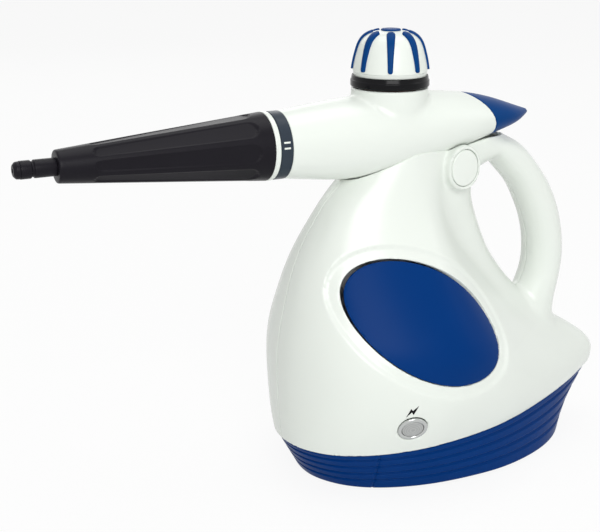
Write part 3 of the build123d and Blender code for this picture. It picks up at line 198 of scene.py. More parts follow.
def barrel(x, y, z):
    half, low, top = (curve(np.clip(x, -46, 127)) for curve in barrel_curves)
    half, tall = np.maximum(half, 0.8), np.maximum((top - low) / 2, 0.8)
    round_form = (np.hypot(y / half, (z - (low + top) / 2) / tall) - 1) * np.minimum(half, tall)
    return np.maximum(round_form, x - BARREL_REAR)


def pressed_barrel(x, y, z, turn=PRESSED):
    """The barrel's rear end when the thumb lever is down."""
    dx, dz = x - HINGE[0], z - HINGE[1]
    back_x = HINGE[0] + dx * math.cos(turn) - dz * math.sin(turn)
    back_z = HINGE[1] + dx * math.sin(turn) + dz * math.cos(turn)
    return np.where(x > HINGE[0], barrel(back_x, y, back_z), 50.0)


def oval_distance(x, z):
    """Millimetres outside the oval's edge."""
    dx, dz = x - OVAL_AT[0], z - OVAL_AT[1]
    u = dx * math.cos(OVAL_TILT) + dz * math.sin(OVAL_TILT)
    v = -dx * math.sin(OVAL_TILT) + dz * math.cos(OVAL_TILT)
    share = np.hypot(u / OVAL_HALF[0], v / OVAL_HALF[1])
    slope = np.hypot(u / OVAL_HALF[0] ** 2, v / OVAL_HALF[1] ** 2) + 1e-6
    return share * (share - 1) / slope


def soft_step(value):
    value = np.clip(value, 0, 1)
    return value * value * (3 - 2 * value)


def from_lock(x, z):
    """Millimetres from the middle of the lock's head, as counted upwards."""
    return np.hypot((x - LOCK_HEAD_X) / LOCK_NARROW, z - LOCK[1])


def plain_body(x, y, z):
    """The body without the sunk band: belly, web, grip and lock collar."""
    form = blend_in(belly(x, y, z), web(x, y, z), 9.0)
    form = blend_in(form, grip(x, y, z), 5.0)
    collar, edge = from_lock(x, z) - COLLAR_RADIUS, np.abs(y) - COLLAR_FACE
    corner = np.hypot(collar + COLLAR_EDGE, edge + COLLAR_EDGE) - COLLAR_EDGE
    in_corner = (collar > -COLLAR_EDGE) & (edge > -COLLAR_EDGE)
    collar = np.where(in_corner, corner, np.maximum(collar, edge))
    return blend_in(form, collar, 3.0)


def body(x, y, z):
    away = oval_distance(x, z)
    step, dish = soft_step((OVAL_BAND - away) / BAND_SLOPE), np.clip(1 - away / OVAL_BAND, 0, 1)
    return plain_body(x, y, z) + (BAND_SINK * step + BAND_DISH * dish) * (np.abs(y) > OVAL_SIDE)


def barrel_and_neck(x, y, z):
    neck = np.hypot(x - FILLER_X, y) - NECK_RADIUS
    neck = np.maximum(neck, BARREL_Z - z)
    return blend_in(barrel(x, y, z), neck, 2.5)


def rim_height(x):
    return RIM_FRONT_Z + (x - BODY_FRONT) * RIM_RISE / BODY_LENGTH


# Skins: triangles on a field's surface, which are cut, rolled over at their edges and given a wall
class Skin:
    def __init__(self, field, low, high, step):
        self.field, self.rolls = field, []
        axes = [np.arange(a, b + step, step) for a, b in zip(low, high)]
        values = field(axes[0][:, None, None], axes[1][None, :, None], axes[2][None, None, :])
        values = np.broadcast_to(values, tuple(len(a) for a in axes))
        inside = values < 0
        cells = tuple(n - 1 for n in values.shape)
        filled = np.zeros(cells, int)
        corners = [(i, j, k) for i in (0, 1) for j in (0, 1) for k in (0, 1)]
        for i, j, k in corners:
            filled += inside[i:cells[0] + i, j:cells[1] + j, k:cells[2] + k]
        active = np.argwhere((filled > 0) & (filled < 8))
        number = -np.ones(cells, int)
        number[tuple(active.T)] = np.arange(len(active))
        total, count = np.zeros((len(active), 3)), np.zeros(len(active))
        for axis in range(3):
            for i, j in ((0, 0), (0, 1), (1, 0), (1, 1)):
                start = np.insert(np.array((i, j)), axis, 0)
                end = start.copy()
                end[axis] = 1
                a = values[tuple((active + start).T)]
                b = values[tuple((active + end).T)]
                crossed = (a < 0) != (b < 0)
                share = np.where(crossed, a / np.where(crossed, a - b, 1), 0)
                total += np.where(crossed[:, None], active + start + share[:, None] * (end - start), 0)
                count += crossed
        self.points = np.array(low) + total / count[:, None] * step
        faces = []
        for axis in range(3):
            after, later = [k for k in range(3) if k != axis]
            a = np.take(inside, range(values.shape[axis] - 1), axis)
            b = np.take(inside, range(1, values.shape[axis]), axis)
            for found, flip in ((np.argwhere(a & ~b), False), (np.argwhere(b & ~a), True)):
                keep = ((found[:, after] > 0) & (found[:, later] > 0)
                        & (found[:, after] < cells[after]) & (found[:, later] < cells[later]))
                found = found[keep]
                around = []
                for i, j in ((0, 0), (1, 0), (1, 1), (0, 1)):
                    cell = found.copy()
                    cell[:, after] -= 1 - i
                    cell[:, later] -= 1 - j
                    around.append(number[tuple(cell.T)])
                if flip ^ (axis == 1):
                    around = around[::-1]
                faces.append(np.stack(around, axis=1))
        quads = np.concatenate(faces)
        self.faces = np.concatenate([quads[:, [0, 1, 2]], quads[:, [0, 2, 3]]])
        for _ in range(3):
            value, slope = self.measure(self.points)
            length = np.maximum((slope ** 2).sum(axis=1), 0.05)
            self.points -= np.clip(value / length, -step, step)[:, None] * slope

    def measure(self, points, reach=0.05):
        """The field and its slope at some points."""
        value = self.field(*points.T)
        ahead = [self.field(*(points + step).T) for step in np.eye(3) * reach]
        return value, (np.stack(ahead, axis=1) - value[:, None]) / reach

    def edges(self):
        """Both ends of each side of each triangle, in its turn."""
        return np.concatenate([self.faces[:, [0, 1]], self.faces[:, [1, 2]], self.faces[:, [2, 0]]])

    def split(self, where, at=0.0):
        """Adds points along the line where a function of place has a value."""
        value = where(*self.points.T) - at
        edges = np.unique(np.sort(self.edges()), axis=0)
        a, b = value[edges[:, 0]], value[edges[:, 1]]
        crossed = edges[(a < 0) != (b < 0)]
        a, b = value[crossed[:, 0]], value[crossed[:, 1]]
        share = a / (a - b)
        for column, near in ((0, share < 0.18), (1, share > 0.82)):
            first, last = self.points[crossed[near, 0]], self.points[crossed[near, 1]]
            self.points[crossed[near, column]] = first * (1 - share[near, None]) + last * share[near, None]
            value[crossed[near, column]] = 0.0
        a, b = value[crossed[:, 0]], value[crossed[:, 1]]
        crossed = crossed[a * b < 0]
        a, b = value[crossed[:, 0]], value[crossed[:, 1]]
        share = (a / (a - b))[:, None]
        added = self.points[crossed[:, 0]] * (1 - share) + self.points[crossed[:, 1]] * share
        size = len(self.points)
        key = crossed[:, 0] * size + crossed[:, 1]
        order = np.argsort(key)
        key_sorted, number = key[order], size + order
        self.points = np.concatenate([self.points, added])
        value = np.concatenate([value, np.zeros(len(added))])

        def between(p, q):
            wanted = np.minimum(p, q) * size + np.maximum(p, q)
            return number[np.searchsorted(key_sorted, wanted)]

        sign = np.sign(value[self.faces])
        mixed = (sign.min(axis=1) < 0) & (sign.max(axis=1) > 0)
        kept, faces, sign = [self.faces[~mixed]], self.faces[mixed], sign[mixed]
        for turn in range(3):
            f, s = np.roll(faces, -turn, axis=1), np.roll(sign, -turn, axis=1)
            through = f[(s[:, 0] == 0) & (s[:, 1] * s[:, 2] < 0)]
            if len(through):
                a, b, c = through.T
                p = between(b, c)
                kept += [np.stack(face, axis=1) for face in ((a, b, p), (a, p, c))]
            corner = f[(s[:, 0] * s[:, 1] < 0) & (s[:, 0] * s[:, 2] < 0)]
            if len(corner):
                a, b, c = corner.T
                p, q = between(a, b), between(a, c)
                kept += [np.stack(face, axis=1) for face in ((a, p, q), (p, b, c), (p, c, q))]
        self.faces = np.concatenate(kept)
        return value

    def clip(self, where, roll=0.0):
        """Keeps what lies where the function is above zero, and rolls the edge over by a radius."""
        if roll:
            for share in (1.0, 0.45, 0.12):
                self.split(where, share * roll)
            self.rolls.append((where, roll))
        value = self.split(where)
        middle = where(*self.points[self.faces].mean(axis=1).T)
        most = value[self.faces].max(axis=1)
        self.faces = self.faces[(most > 0) | ((most == 0) & (middle > 0))]
        used = np.unique(self.faces)
        renumber = -np.ones(len(self.points), int)
        renumber[used] = np.arange(len(used))
        self.points, self.faces = self.points[used], renumber[self.faces]

    def walled(self, wall, sink=0.0):
        """Points and faces of the skin with a wall inside it. The outer surface may be sunk by a distance."""
        slope = self.measure(self.points)[1]
        normal = slope / np.maximum(np.linalg.norm(slope, axis=1), 1e-6)[:, None]
        depth = np.zeros(len(self.points))
        for where, roll in self.rolls:
            away = np.clip(where(*self.points.T), 0, roll)
            drop = roll - np.sqrt(np.maximum(roll ** 2 - (roll - away) ** 2, 0))
            depth = np.maximum(depth, drop)
        outer = self.points - normal * (depth + sink)[:, None]
        inner = self.points - normal * (wall + sink)
        edges, size = self.edges(), len(outer)
        _, first, count = np.unique(np.sort(edges), axis=0, return_index=True, return_counts=True)
        a, b = edges[first[count == 1]].T
        sides = [np.stack(face, axis=1) for face in ((b, a, a + size), (b, a + size, b + size))]
        return (np.concatenate([outer, inner]),
                np.concatenate([self.faces, self.faces[:, ::-1] + size, *sides]))


# Materials, written as expressions of sockets
class Wire:
    """A socket of a node tree. Plain sums of wires and numbers add Math nodes."""

    def __init__(self, finish, socket):
        self.finish, self.socket = finish, socket

    def _sum(self, operation, first, second):
        return self.finish.node("ShaderNodeMath", {0: first, 1: second}, operation=operation).out()

    def __add__(self, other):
        return self._sum("ADD", self, other)

    def __radd__(self, other):
        return self._sum("ADD", other, self)

    def __sub__(self, other):
        return self._sum("SUBTRACT", self, other)

    def __rsub__(self, other):
        return self._sum("SUBTRACT", other, self)

    def __mul__(self, other):
        return self._sum("MULTIPLY", self, other)

    def __rmul__(self, other):
        return self._sum("MULTIPLY", other, self)

    def at_least(self, other):
        return self._sum("MAXIMUM", self, other)


class Placed:
    """A node that was added to a finish."""

    def __init__(self, finish, node):
        self.finish, self.node = finish, node

    def out(self, name=0):
        return Wire(self.finish, self.node.outputs[name])


class Finish:
    """A material made of nodes, or the world's."""

    def __init__(self, name, owner=None):
        self.owner = owner or bpy.data.materials.new(name)
        self.owner.use_nodes = True
        self.tree = self.owner.node_tree
        self.tree.nodes.clear()

    def node(self, kind, inputs=None, stops=None, **settings):
        made = self.tree.nodes.new(kind)
        for key, value in settings.items():
            setattr(made, key, value)
        if stops:
            ramp = made.color_ramp
            while len(ramp.elements) < len(stops):
                ramp.elements.new(0.5)
            for element, (place, colour) in zip(ramp.elements, stops):
                element.position, element.color = place, (*colour, 1)
        for key, value in (inputs or {}).items():
            if isinstance(value, Wire):
                self.tree.links.new(value.socket, made.inputs[key])
            else:
                made.inputs[key].default_value = value
        return Placed(self, made)

    def place(self):
        return self.node("ShaderNodeTexCoord").out("Object")

    def noise(self, scale, detail=2.0, vector=None):
        settings = {"Vector": vector or self.place(), "Scale": scale, "Detail": detail}
        return self.node("ShaderNodeTexNoise", settings).out(0)

    def shaped(self, operation, first, second=None):
        inputs = {0: first} if second is None else {0: first, 1: second}
        return self.node("ShaderNodeVectorMath", inputs, operation=operation)

    def mix(self, share, first, second):
        made = self.node("ShaderNodeMix", {0: share}, data_type="RGBA")
        for key, value in ((6, first), (7, second)):
            if isinstance(value, Wire):
                self.tree.links.new(value.socket, made.node.inputs[key])
            else:
                made.node.inputs[key].default_value = (*value, 1)
        return made.out(2)

    def bump(self, height, strength, distance):
        inputs = {"Height": height, "Strength": strength, "Distance": distance}
        return self.node("ShaderNodeBump", inputs).out(0)

    def surface(self, inputs):
        return self.end(self.node("ShaderNodeBsdfPrincipled", inputs).out())

    def end(self, shader, kind="ShaderNodeOutputMaterial"):
        self.node(kind, {"Surface": shader})
        return self.owner


def moulded(name, colour, shade, rough, grain=0.05, shine=0.5, spread=0.04):
    """Moulded plastic: faint flow clouds in the colour, uneven gloss and the fine ripple of the tool."""
    finish = Finish(name)
    cloud = finish.noise(22, 2)
    ripple = finish.noise(900, 2)
    swirl = finish.noise(60, 2)
    return finish.surface({
        "Base Color": finish.mix(cloud * 0.75 + swirl * 0.25, colour, shade),
        "Roughness": rough + spread * (cloud - 0.5) + 0.5 * spread * (ripple - 0.5),
        "Specular IOR Level": shine, "IOR": 1.5, "Normal": finish.bump(ripple, grain, 0.0001),
    })


def grained(name, colour, shade, rough, scale=1500, strength=0.25, shine=0.5):
    """Satin plastic or rubber with a spark-eroded grain."""
    finish = Finish(name)
    cells = finish.node("ShaderNodeTexVoronoi", {"Vector": finish.place(), "Scale": scale}).out(0)
    cloud = finish.noise(40, 3)
    fine = finish.noise(scale * 0.7, 2)
    return finish.surface({
        "Base Color": finish.mix(cloud * 0.6 + cells * 0.4, colour, shade),
        "Roughness": rough + 0.10 * (cloud - 0.5) + 0.06 * (fine - 0.5),
        "Specular IOR Level": shine, "IOR": 1.5,
        "Normal": finish.bump(cells * 0.5 + fine * 0.5, strength, 0.0001),
    })


def metal(name, colour, shade, rough, streak=900, strength=0.08):
    """Turned or plated metal with fine tool lines and a little tarnish. On the chrome, the darkened colour
    and its clouds are painted dark reflections.
    """
    finish = Finish(name)
    turning = finish.noise(streak, 3, finish.shaped("MULTIPLY", finish.place(), (1.0, 1.0, 12.0)).out())
    cloud = finish.noise(60, 4)
    return finish.surface({
        "Base Color": finish.mix(cloud, colour, shade), "Metallic": 1.0,
        "Roughness": rough + 0.12 * (turning - 0.5) + 0.08 * (cloud - 0.5),
        "Normal": finish.bump(turning, strength, 0.00005),
    })


def felt_finish(name, colour, shade):
    finish = Finish(name)
    hair = finish.noise(1400, 6)
    tuft = finish.noise(260, 4)
    return finish.surface({
        "Base Color": finish.mix(hair * 0.5 + tuft * 0.5, colour, shade),
        "Roughness": 0.92 + 0.05 * (hair - 0.5), "Normal": finish.bump(hair * 0.6 + tuft * 0.4, 0.7, 0.0004),
    })


def lens_finish(name):
    """Grey moulded lens, with the rings of its underside showing through."""
    finish = Finish(name)
    offset = finish.shaped("SUBTRACT", finish.place(), tuple(LAMP_AT * MM)).out()
    away = finish.shaped("LENGTH", offset).out("Value")
    rings = finish.node("ShaderNodeMath", {0: away * 5200}, operation="SINE").out() * 0.5 + 0.5
    cloud = finish.noise(300, 3)
    return finish.surface({
        "Base Color": finish.mix(rings * 0.5 + cloud * 0.3, (0.42, 0.43, 0.42), (0.27, 0.28, 0.28)),
        "Roughness": 0.16 + 0.1 * rings, "Coat Weight": 0.6, "Coat Roughness": 0.05,
        "Normal": finish.bump(rings, 0.25, 0.0002),
    })


finishes = {
    "white": moulded("white_gloss_plastic", (0.790, 0.832, 0.780), (0.802, 0.842, 0.792), 0.26, 0.03),
    "blue": moulded("deep_blue_plastic", (0.000, 0.031, 0.162), (0.001, 0.036, 0.182), 0.34, 0.03, 0.05),
    "lever_blue": moulded("lever_blue_plastic",
                          (0.001, 0.043, 0.180), (0.002, 0.049, 0.200), 0.34, 0.03, 0.05),
    "dark": grained("satin_black_plastic",
                    (0.007, 0.006, 0.009), (0.012, 0.011, 0.015), 0.34, 2200, 0.03, 0.10),
    "ring_dark": grained("blue_grey_plastic",
                         (0.026, 0.036, 0.050), (0.034, 0.046, 0.064), 0.30, 2200, 0.03, 0.15),
    "inner_plastic": grained("natural_plastic", (0.62, 0.61, 0.56), (0.70, 0.69, 0.64), 0.45),
    "steel": metal("bare_steel", (0.50, 0.50, 0.50), (0.62, 0.62, 0.61), 0.32),
    "zinc": metal("zinc_plated_steel", (0.62, 0.63, 0.65), (0.72, 0.73, 0.74), 0.28),
    "alloy": metal("cast_alloy", (0.58, 0.58, 0.59), (0.70, 0.70, 0.70), 0.45, 500, 0.2),
    "brass": metal("turned_brass", (0.64, 0.44, 0.16), (0.74, 0.54, 0.23), 0.26),
    # Chrome: its colour is painted darker, with darker clouds, as painted reflections of dark surroundings
    "chrome": metal("chrome_with_painted_dark_reflections", (0.42, 0.44, 0.43), (0.60, 0.61, 0.60), 0.14, 900, 0.01),
    "rubber": grained("black_rubber", (0.018, 0.018, 0.018), (0.030, 0.030, 0.029), 0.62, 1100, 0.35),
    "seal": grained("seal_rubber", (0.36, 0.09, 0.06), (0.44, 0.13, 0.09), 0.55, 1100, 0.3),
    "felt": felt_finish("insulating_felt", (0.62, 0.60, 0.53), (0.74, 0.72, 0.66)),
    "lens": lens_finish("grey_lens"),
    "ceramic": grained("pale_ceramic", (0.72, 0.68, 0.58), (0.80, 0.77, 0.69), 0.5, 1700, 0.2),
    "cap_black": grained("cap_ring_plastic",
                         (0.002, 0.002, 0.003), (0.004, 0.004, 0.005), 0.16, 1500, 0.02, 0.15),
}

slots = {row["node"]: row["material_slot"] for row in frame["record"]["subparts"]}
members = frame["record"]["behaviour"]["bodies"].items()
bodies = {node: name for name, nodes in members for node in nodes}
for node, piece in frame["nodes"].items():
    chosen = "cap_black" if node == "cap_base" else slots[node]
    if piece.material_slots:
        for held in piece.material_slots:
            held.material = finishes[chosen]
    else:
        piece.data.materials.append(finishes[chosen])


# Pieces in mesh code
def put(piece, node, replaced):
    """Sets a finished piece on the body of a node, in the place of the nodes that it stands for."""
    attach(piece, bodies[node])
    if replaced:
        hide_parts(*replaced)
    return piece


def cut_away(mesh, parts):
    """A mesh with other closed forms taken out of it."""
    body_piece = bpy.data.objects.new("whole", mesh)
    tool = bpy.data.objects.new("cutter", joined_mesh("cutter", parts))
    for piece in (body_piece, tool):
        bpy.context.collection.objects.link(piece)
    cut = body_piece.modifiers.new("cut", "BOOLEAN")
    cut.object, cut.operation, cut.solver = tool, "DIFFERENCE", "EXACT"
    ready = body_piece.evaluated_get(bpy.context.evaluated_depsgraph_get())
    result = bpy.data.meshes.new_from_object(ready)
    bpy.data.objects.remove(body_piece)
    bpy.data.objects.remove(tool)
    return result


def joined_mesh(name, parts):
    """A mesh of several closed sets of points, in millimetres, and faces that point outwards."""
    points, faces = [], []
    for part_points, part_faces in parts:
        start = sum(len(p) for p in points)
        points.append(np.asarray(part_points, float))
        if isinstance(part_faces, np.ndarray):
            part_faces = part_faces.tolist()
        if volume_inside(points[-1], part_faces) < 0:
            part_faces = [face[::-1] for face in part_faces]
        faces += [[i + start for i in face] for face in part_faces]
    mesh = bpy.data.meshes.new(name)
    mesh.from_pydata((np.concatenate(points) * MM).tolist(), [], faces)
    mesh.update()
    mesh.validate()
    return mesh


def mesh_piece(name, parts, node, finish=None, replaced=None, sharp=38, outward=True, cutters=()):
    """One piece that rides on the body of a node, and stands for that node or for those named."""
    mesh = joined_mesh(name, parts)
    if cutters:
        mesh = cut_away(mesh, cutters)
    if outward:
        turn_outward(mesh)
    mesh.shade_smooth()
    mesh.set_sharp_from_angle(angle=math.radians(sharp))
    mesh.materials.append(finishes[finish or slots[node]])
    piece = bpy.data.objects.new(name, mesh)
    bpy.context.collection.objects.link(piece)
    return put(piece, node, (node,) if replaced is None else replaced)


def volume_inside(points, faces):
    """Below zero where a closed part's faces point inwards."""
    fans = [(face[0], face[k], face[k + 1]) for face in faces for k in range(1, len(face) - 1)]
    triangles = np.array(fans)
    a, b, c = (points[triangles[:, k]] for k in range(3))
    return (a * np.cross(b, c)).sum()


def turn_outward(mesh):
    work = bmesh.new()
    work.from_mesh(mesh)
    bmesh.ops.remove_doubles(work, verts=work.verts, dist=1e-7)
    bmesh.ops.recalc_face_normals(work, faces=work.faces)
    work.to_mesh(mesh)
    work.free()


def rounded(points, radius, steps=4, closed=True):
    """A profile with its corners rounded."""
    points = [np.array(p, float) for p in points]
    out = []
    for k, corner in enumerate(points):
        if not closed and k in (0, len(points) - 1):
            out.append(corner)
            continue
        before, after = points[k - 1], points[(k + 1) % len(points)]
        a, b = before - corner, after - corner
        run_a, run_b = np.linalg.norm(a), np.linalg.norm(b)
        cut = min(radius, run_a * 0.45, run_b * 0.45)
        if corner[1] < 1e-6 or cut < 0.02:
            out.append(corner)
            continue
        start, end = corner + a / run_a * cut, corner + b / run_b * cut
        for j in range(steps + 1):
            t = j / steps
            out.append((1 - t) ** 2 * start + 2 * t * (1 - t) * corner + t * t * end)
    return out


def cross_frame(direction):
    direction = np.array(direction, float) / np.linalg.norm(direction)
    side = np.cross(direction, (0, 0, 1))
    if np.linalg.norm(side) < 0.1:
        side = np.array((0.0, 1.0, 0.0))
    side = side / np.linalg.norm(side)
    return direction, side, np.cross(direction, side)


def band(count, lower, upper):
    """Faces between two rings of points, given by their places in a list of rings."""
    starts, ends = range(count), [*range(1, count), 0]
    return [(lower * count + k, lower * count + m, upper * count + m, upper * count + k)
            for k, m in zip(starts, ends)]


def lofted(rings):
    """Rings of points joined one to the next, with flat ends."""
    count, whole = len(rings[0]), sum(len(ring) for ring in rings)
    faces = [tuple(range(count))[::-1], tuple(range(whole - count, whole))]
    for k in range(len(rings) - 1):
        faces += band(count, k, k + 1)
    return np.concatenate(rings), faces


def turned(profile, origin, direction, steps=96, radius_at=None):
    """A closed profile of (distance along, radius) turned round an axis."""
    along, side, up = cross_frame(direction)
    profile = np.array(profile, float)
    turns = np.linspace(0, 2 * math.pi, steps, endpoint=False)
    distance, radius = (np.repeat(profile[:, k:k + 1], steps, 1) for k in (0, 1))
    if radius_at:
        radius = radius_at(distance, radius, turns[None, :])
    spokes = np.cos(turns)[:, None] * side + np.sin(turns)[:, None] * up
    points = np.array(origin) + distance[..., None] * along + radius[..., None] * spokes[None]
    faces = []
    for i in range(len(profile)):
        j = (i + 1) % len(profile)
        if max(profile[i, 1], profile[j, 1]) >= 1e-6:
            faces += band(steps, i, j)
    return points.reshape(-1, 3), faces


def drawn_block(outline, low, high, plane="xz"):
    """A flat outline given a thickness, across the body (xz) or upwards (xy)."""
    return lofted([[(a, level, b) if plane == "xz" else (a, b, level) for a, b in outline]
                   for level in (low, high)])


def block(x0, x1, y0, y1, z0, z1):
    return drawn_block([(x0, y0), (x1, y0), (x1, y1), (x0, y1)], z0, z1, "xy")


# White body: one half is made and the other mirrored
def past_rim(x, y, z):
    return (z - rim_height(x)) * 0.998


def past_bed(x, y, z):
    return np.minimum(barrel(x, y, z), pressed_barrel(x, y, z)) - BED_GAP


def past_oval(x, y, z):
    return np.where(np.abs(y) > OVAL_SIDE, oval_distance(x, z) - OVAL_GAP, FAR_AWAY)


def past_lock(x, y, z):
    return np.where(np.abs(y) > LOCK_SIDE, from_lock(x, z) - LOCK_RADIUS - LOCK_GAP, FAR_AWAY)


def past_middle(x, y, z):
    return np.abs(y) - SHELL_GAP


def past_lamp(x, y, z):
    offset = np.stack([x, -np.abs(y), z], axis=-1) - LAMP_AT
    along = offset @ LAMP_OUT
    return np.sqrt(np.maximum((offset ** 2).sum(axis=-1) - along ** 2, 0)) - LAMP_HOLE


def past_screws(x, y, z):
    return np.minimum.reduce([np.hypot(x - a, z - b) - WELL_RADIUS for a, b in SCREWS])


def mirrored(points, faces):
    return points * (1, -1, 1), faces[:, ::-1]


half = Skin(body, (-47.0, -2.1, 20.0), (196.0, 77.0, 214.5), 1.45)
half.clip(past_middle, 0.4)
half.clip(past_rim, 0.7)
half.clip(past_bed, 0.6)
half.clip(past_lock, 0.5)
half.clip(past_oval, 0.25)
left, right = copy.deepcopy(half), copy.deepcopy(half)
left.clip(past_lamp, 0.4)
right.clip(past_screws, 0.3)
mesh_piece("left_body_shell", [mirrored(*left.walled(SHELL_WALL))], "left_shell", outward=False)
well_profile = [(7.9, WELL_RADIUS), (7.9, 4.6), (14.0, 4.6), (14.0, WELL_RADIUS)]
wells = [turned(well_profile, (x, 0, z), (0, 1, 0), 32) for x, z in SCREWS]
mesh_piece("right_body_shell", [right.walled(SHELL_WALL), *wells], "right_shell", outward=False)

# Oval panels, sunk inside the band
panel = Skin(plain_body, (-30.0, 20.0, 60.0), (84.0, 76.0, 152.0), 1.3)
panel.clip(lambda x, y, z: -oval_distance(x, z) - OVAL_GAP, 0.3)
right_panel = panel.walled(PANEL_WALL, PANEL_SINK)
mesh_piece("right_oval", [right_panel], "right_oval_panel", outward=False)
mesh_piece("left_oval", [mirrored(*right_panel)], "left_oval_panel", outward=False)


# Barrel cover with the filler neck, and the thumb lever behind it
def past_seam(x, z):
    return np.hypot(x - LEVER_SEAM[0], z - LEVER_SEAM[1]) - SEAM_RADIUS


def before_lever(x, y, z):
    return np.where(x > HINGE[0], -past_seam(x, z), FAR_AWAY)


def behind_cover(x, y, z):
    return np.minimum(past_seam(x, z) - LEVER_GAP, x - HINGE[0])


cover = Skin(barrel_and_neck, (-45.0, -30.0, 180.0), (112.0, 30.0, 237.0), 1.1)
cover.clip(lambda x, y, z: x - BARREL_FRONT, 0.5)
cover.clip(before_lever, 0.5)
cover.clip(lambda x, y, z: NECK_TOP - z, 0.6)
neck_profile = rounded([(NECK_TOP, 21.6), (NECK_TOP, 19.5), (215.5, 19.5), (215.5, 14.9), (213.4, 14.9),
                        (213.4, 21.4)], 0.5)
neck = turned(neck_profile, *UPRIGHT, 128)
mesh_piece("barrel_cover_shell", [cover.walled(COVER_WALL), neck], "barrel_cover", outward=False)

beak = Skin(barrel, (69.0, -27.0, 194.0), (129.0, 27.0, 233.0), 0.9)
beak.clip(behind_cover, 0.5)
arm = drawn_block([(72.0, 193.2), (88.0, 200.5), (110.0, 209.0), (120.0, 212.6), (120.0, 213.4),
                   (104.0, 213.8), (72.0, 201.2)], -3.0, 3.0)
hub = turned([(-8.0, 2.05), (-8.0, 4.5), (8.0, 4.5), (8.0, 2.05)], (HINGE[0], 0, HINGE[1]), (0, 1, 0), 48)
fork = [block(48.5, 70.0, side * 4.5 - 1.5, side * 4.5 + 1.5, 197.8, 200.0) for side in (-1, 1)]
bridge, heel = block(57.6, 70.0, -3.2, 3.2, 197.8, 200.0), block(74.4, 76.4, -3.0, 3.0, 187.5, 195.0)
lever_parts = [beak.walled(COVER_WALL), arm, hub, *fork, bridge, heel]
mesh_piece("thumb_lever", lever_parts, "steam_lever", outward=False)


# Base: a bowl whose side runs from the rim to the floor, with grooves round it
RIM_DROP, RIM_INSET, RIM_FRONT, RIM_REAR = 0.2, 0.9, -41.0, 188.0
FLOOR_Z, FLOOR_FRONT, FLOOR_WIDEST, FLOOR_REAR, FLOOR_HALF = 2.0, -27.0, 62.0, 161.0, 54.2
GROOVE_DEPTH, GROOVE_WIDTH_SHARE = 1.05, 0.030
GROOVE_SHARES = (0.16, 0.36, 0.56, 0.76)
SEAM_X, SEAM_DEPTH, SEAM_TURN = -1.0, 0.5, 2.05


def rim_outline(turns, inset):
    """Where the rim plane cuts the belly, drawn in by an inset."""
    x = np.full(len(turns), FILLER_X)
    for _ in range(8):
        z = rim_height(x) - RIM_DROP
        front, widest, rear, half_width = (curve(z) for curve in level_curves)
        slim = np.clip((z - 38.4) / 42.2, 0, 1)
        share = full_reach(turns) * (1 - slim) + slim_reach(turns) * slim
        ahead = np.cos(turns) < 0
        run = np.where(ahead, widest - front, rear - widest) - inset * np.where(ahead, 1.0, 2.0)
        x = widest + run * share * np.cos(turns)
        y = share * np.sin(turns) * (half_width - inset)
    return x, y


def floor_outline(turns, inset):
    share = floor_reach(turns)
    run = np.where(np.cos(turns) < 0, FLOOR_WIDEST - FLOOR_FRONT, FLOOR_REAR - FLOOR_WIDEST) - inset
    return FLOOR_WIDEST + run * share * np.cos(turns), share * np.sin(turns) * (FLOOR_HALF - inset)


plain_turns = math.pi * (1 - np.cos(np.linspace(0, math.pi, 170))) / 2
base_turns = np.sort(np.concatenate([plain_turns[np.abs(plain_turns - SEAM_TURN) > 0.012],
                                     SEAM_TURN + np.array([-0.010, -0.005, 0.005, 0.010])]))
in_seam = np.abs(base_turns - SEAM_TURN) < 0.007


def base_ring(t, inset):
    """One level of the base, as points all round. A seam crosses its side at one place along the body."""
    rim_x, floor_x = rim_outline(base_turns, RIM_INSET)[0], floor_outline(base_turns, 0)[0]
    at_seam = np.interp(-SEAM_X, -(rim_x + t * (floor_x - rim_x)), base_turns)
    lean = np.minimum(base_turns / SEAM_TURN, (math.pi - base_turns) / (math.pi - SEAM_TURN))
    turns = base_turns + (at_seam - SEAM_TURN) * lean
    inset = inset + SEAM_DEPTH * in_seam * (inset < 2)
    rim_x, rim_y = rim_outline(turns, RIM_INSET + inset)
    floor_x, floor_y = floor_outline(turns, inset)
    x, y = rim_x + t * (floor_x - rim_x), rim_y + t * (floor_y - rim_y)
    ends = []
    for rim_end, floor_end in ((RIM_FRONT, FLOOR_FRONT), (RIM_REAR, FLOOR_REAR)):
        ends.append((rim_end + t * (floor_end - rim_end),
                     (rim_height(rim_end) - RIM_DROP) * (1 - t) + FLOOR_Z * t))
    (front_x, front_z), (rear_x, rear_z) = ends
    z = front_z + (x - front_x) * (rear_z - front_z) / (rear_x - front_x)
    upper = np.stack([x, y, z], axis=1)
    lower = upper[-2:0:-1] * (1, -1, 1)
    return np.concatenate([upper, lower])


def groove(t):
    """Depth of the grooves at a share of the way down."""
    return sum(GROOVE_DEPTH * math.exp(-((t - middle) / GROOVE_WIDTH_SHARE) ** 4) for middle in GROOVE_SHARES)


levels = [(0.05, 4.2), (0.0, 4.0), (0.0, 2.2), (0.01, 1.7), (0.022, 0.7), (0.03, 0.3), (0.04, 0.1)]
levels += [(t, groove(t)) for t in np.linspace(0.055, 0.955, 102)]
levels += [(0.975, 0.08), (0.99, 0.4), (1.0, 1.2), (1.0, 8.0), (1.0, 30.0)]
inner_levels = [(0.90, 30.0), (0.90, 8.0), (0.88, 5.2), (0.80, 4.2)]
rings = [base_ring(t, inset) for t, inset in levels + inner_levels]
count, floor_start = len(rings[0]), len(levels) * len(rings[0])
faces = []
for k in range(len(rings)):
    if k != len(levels) - 1:
        faces += band(count, k, (k + 1) % len(rings))
faces.append(tuple(range(floor_start - count, floor_start)))
faces.append(tuple(range(floor_start, floor_start + count))[::-1])
gland_recess = turned([(-0.8, 0), (-0.8, 9.0), (15.0, 9.0), (15.0, 0)], (126.0, 38.6, 19.0), (0.4, 0.917, 0))
mesh_piece("base_bowl", [(np.concatenate(rings), faces)], "base_pan", sharp=55, cutters=[gland_recess])

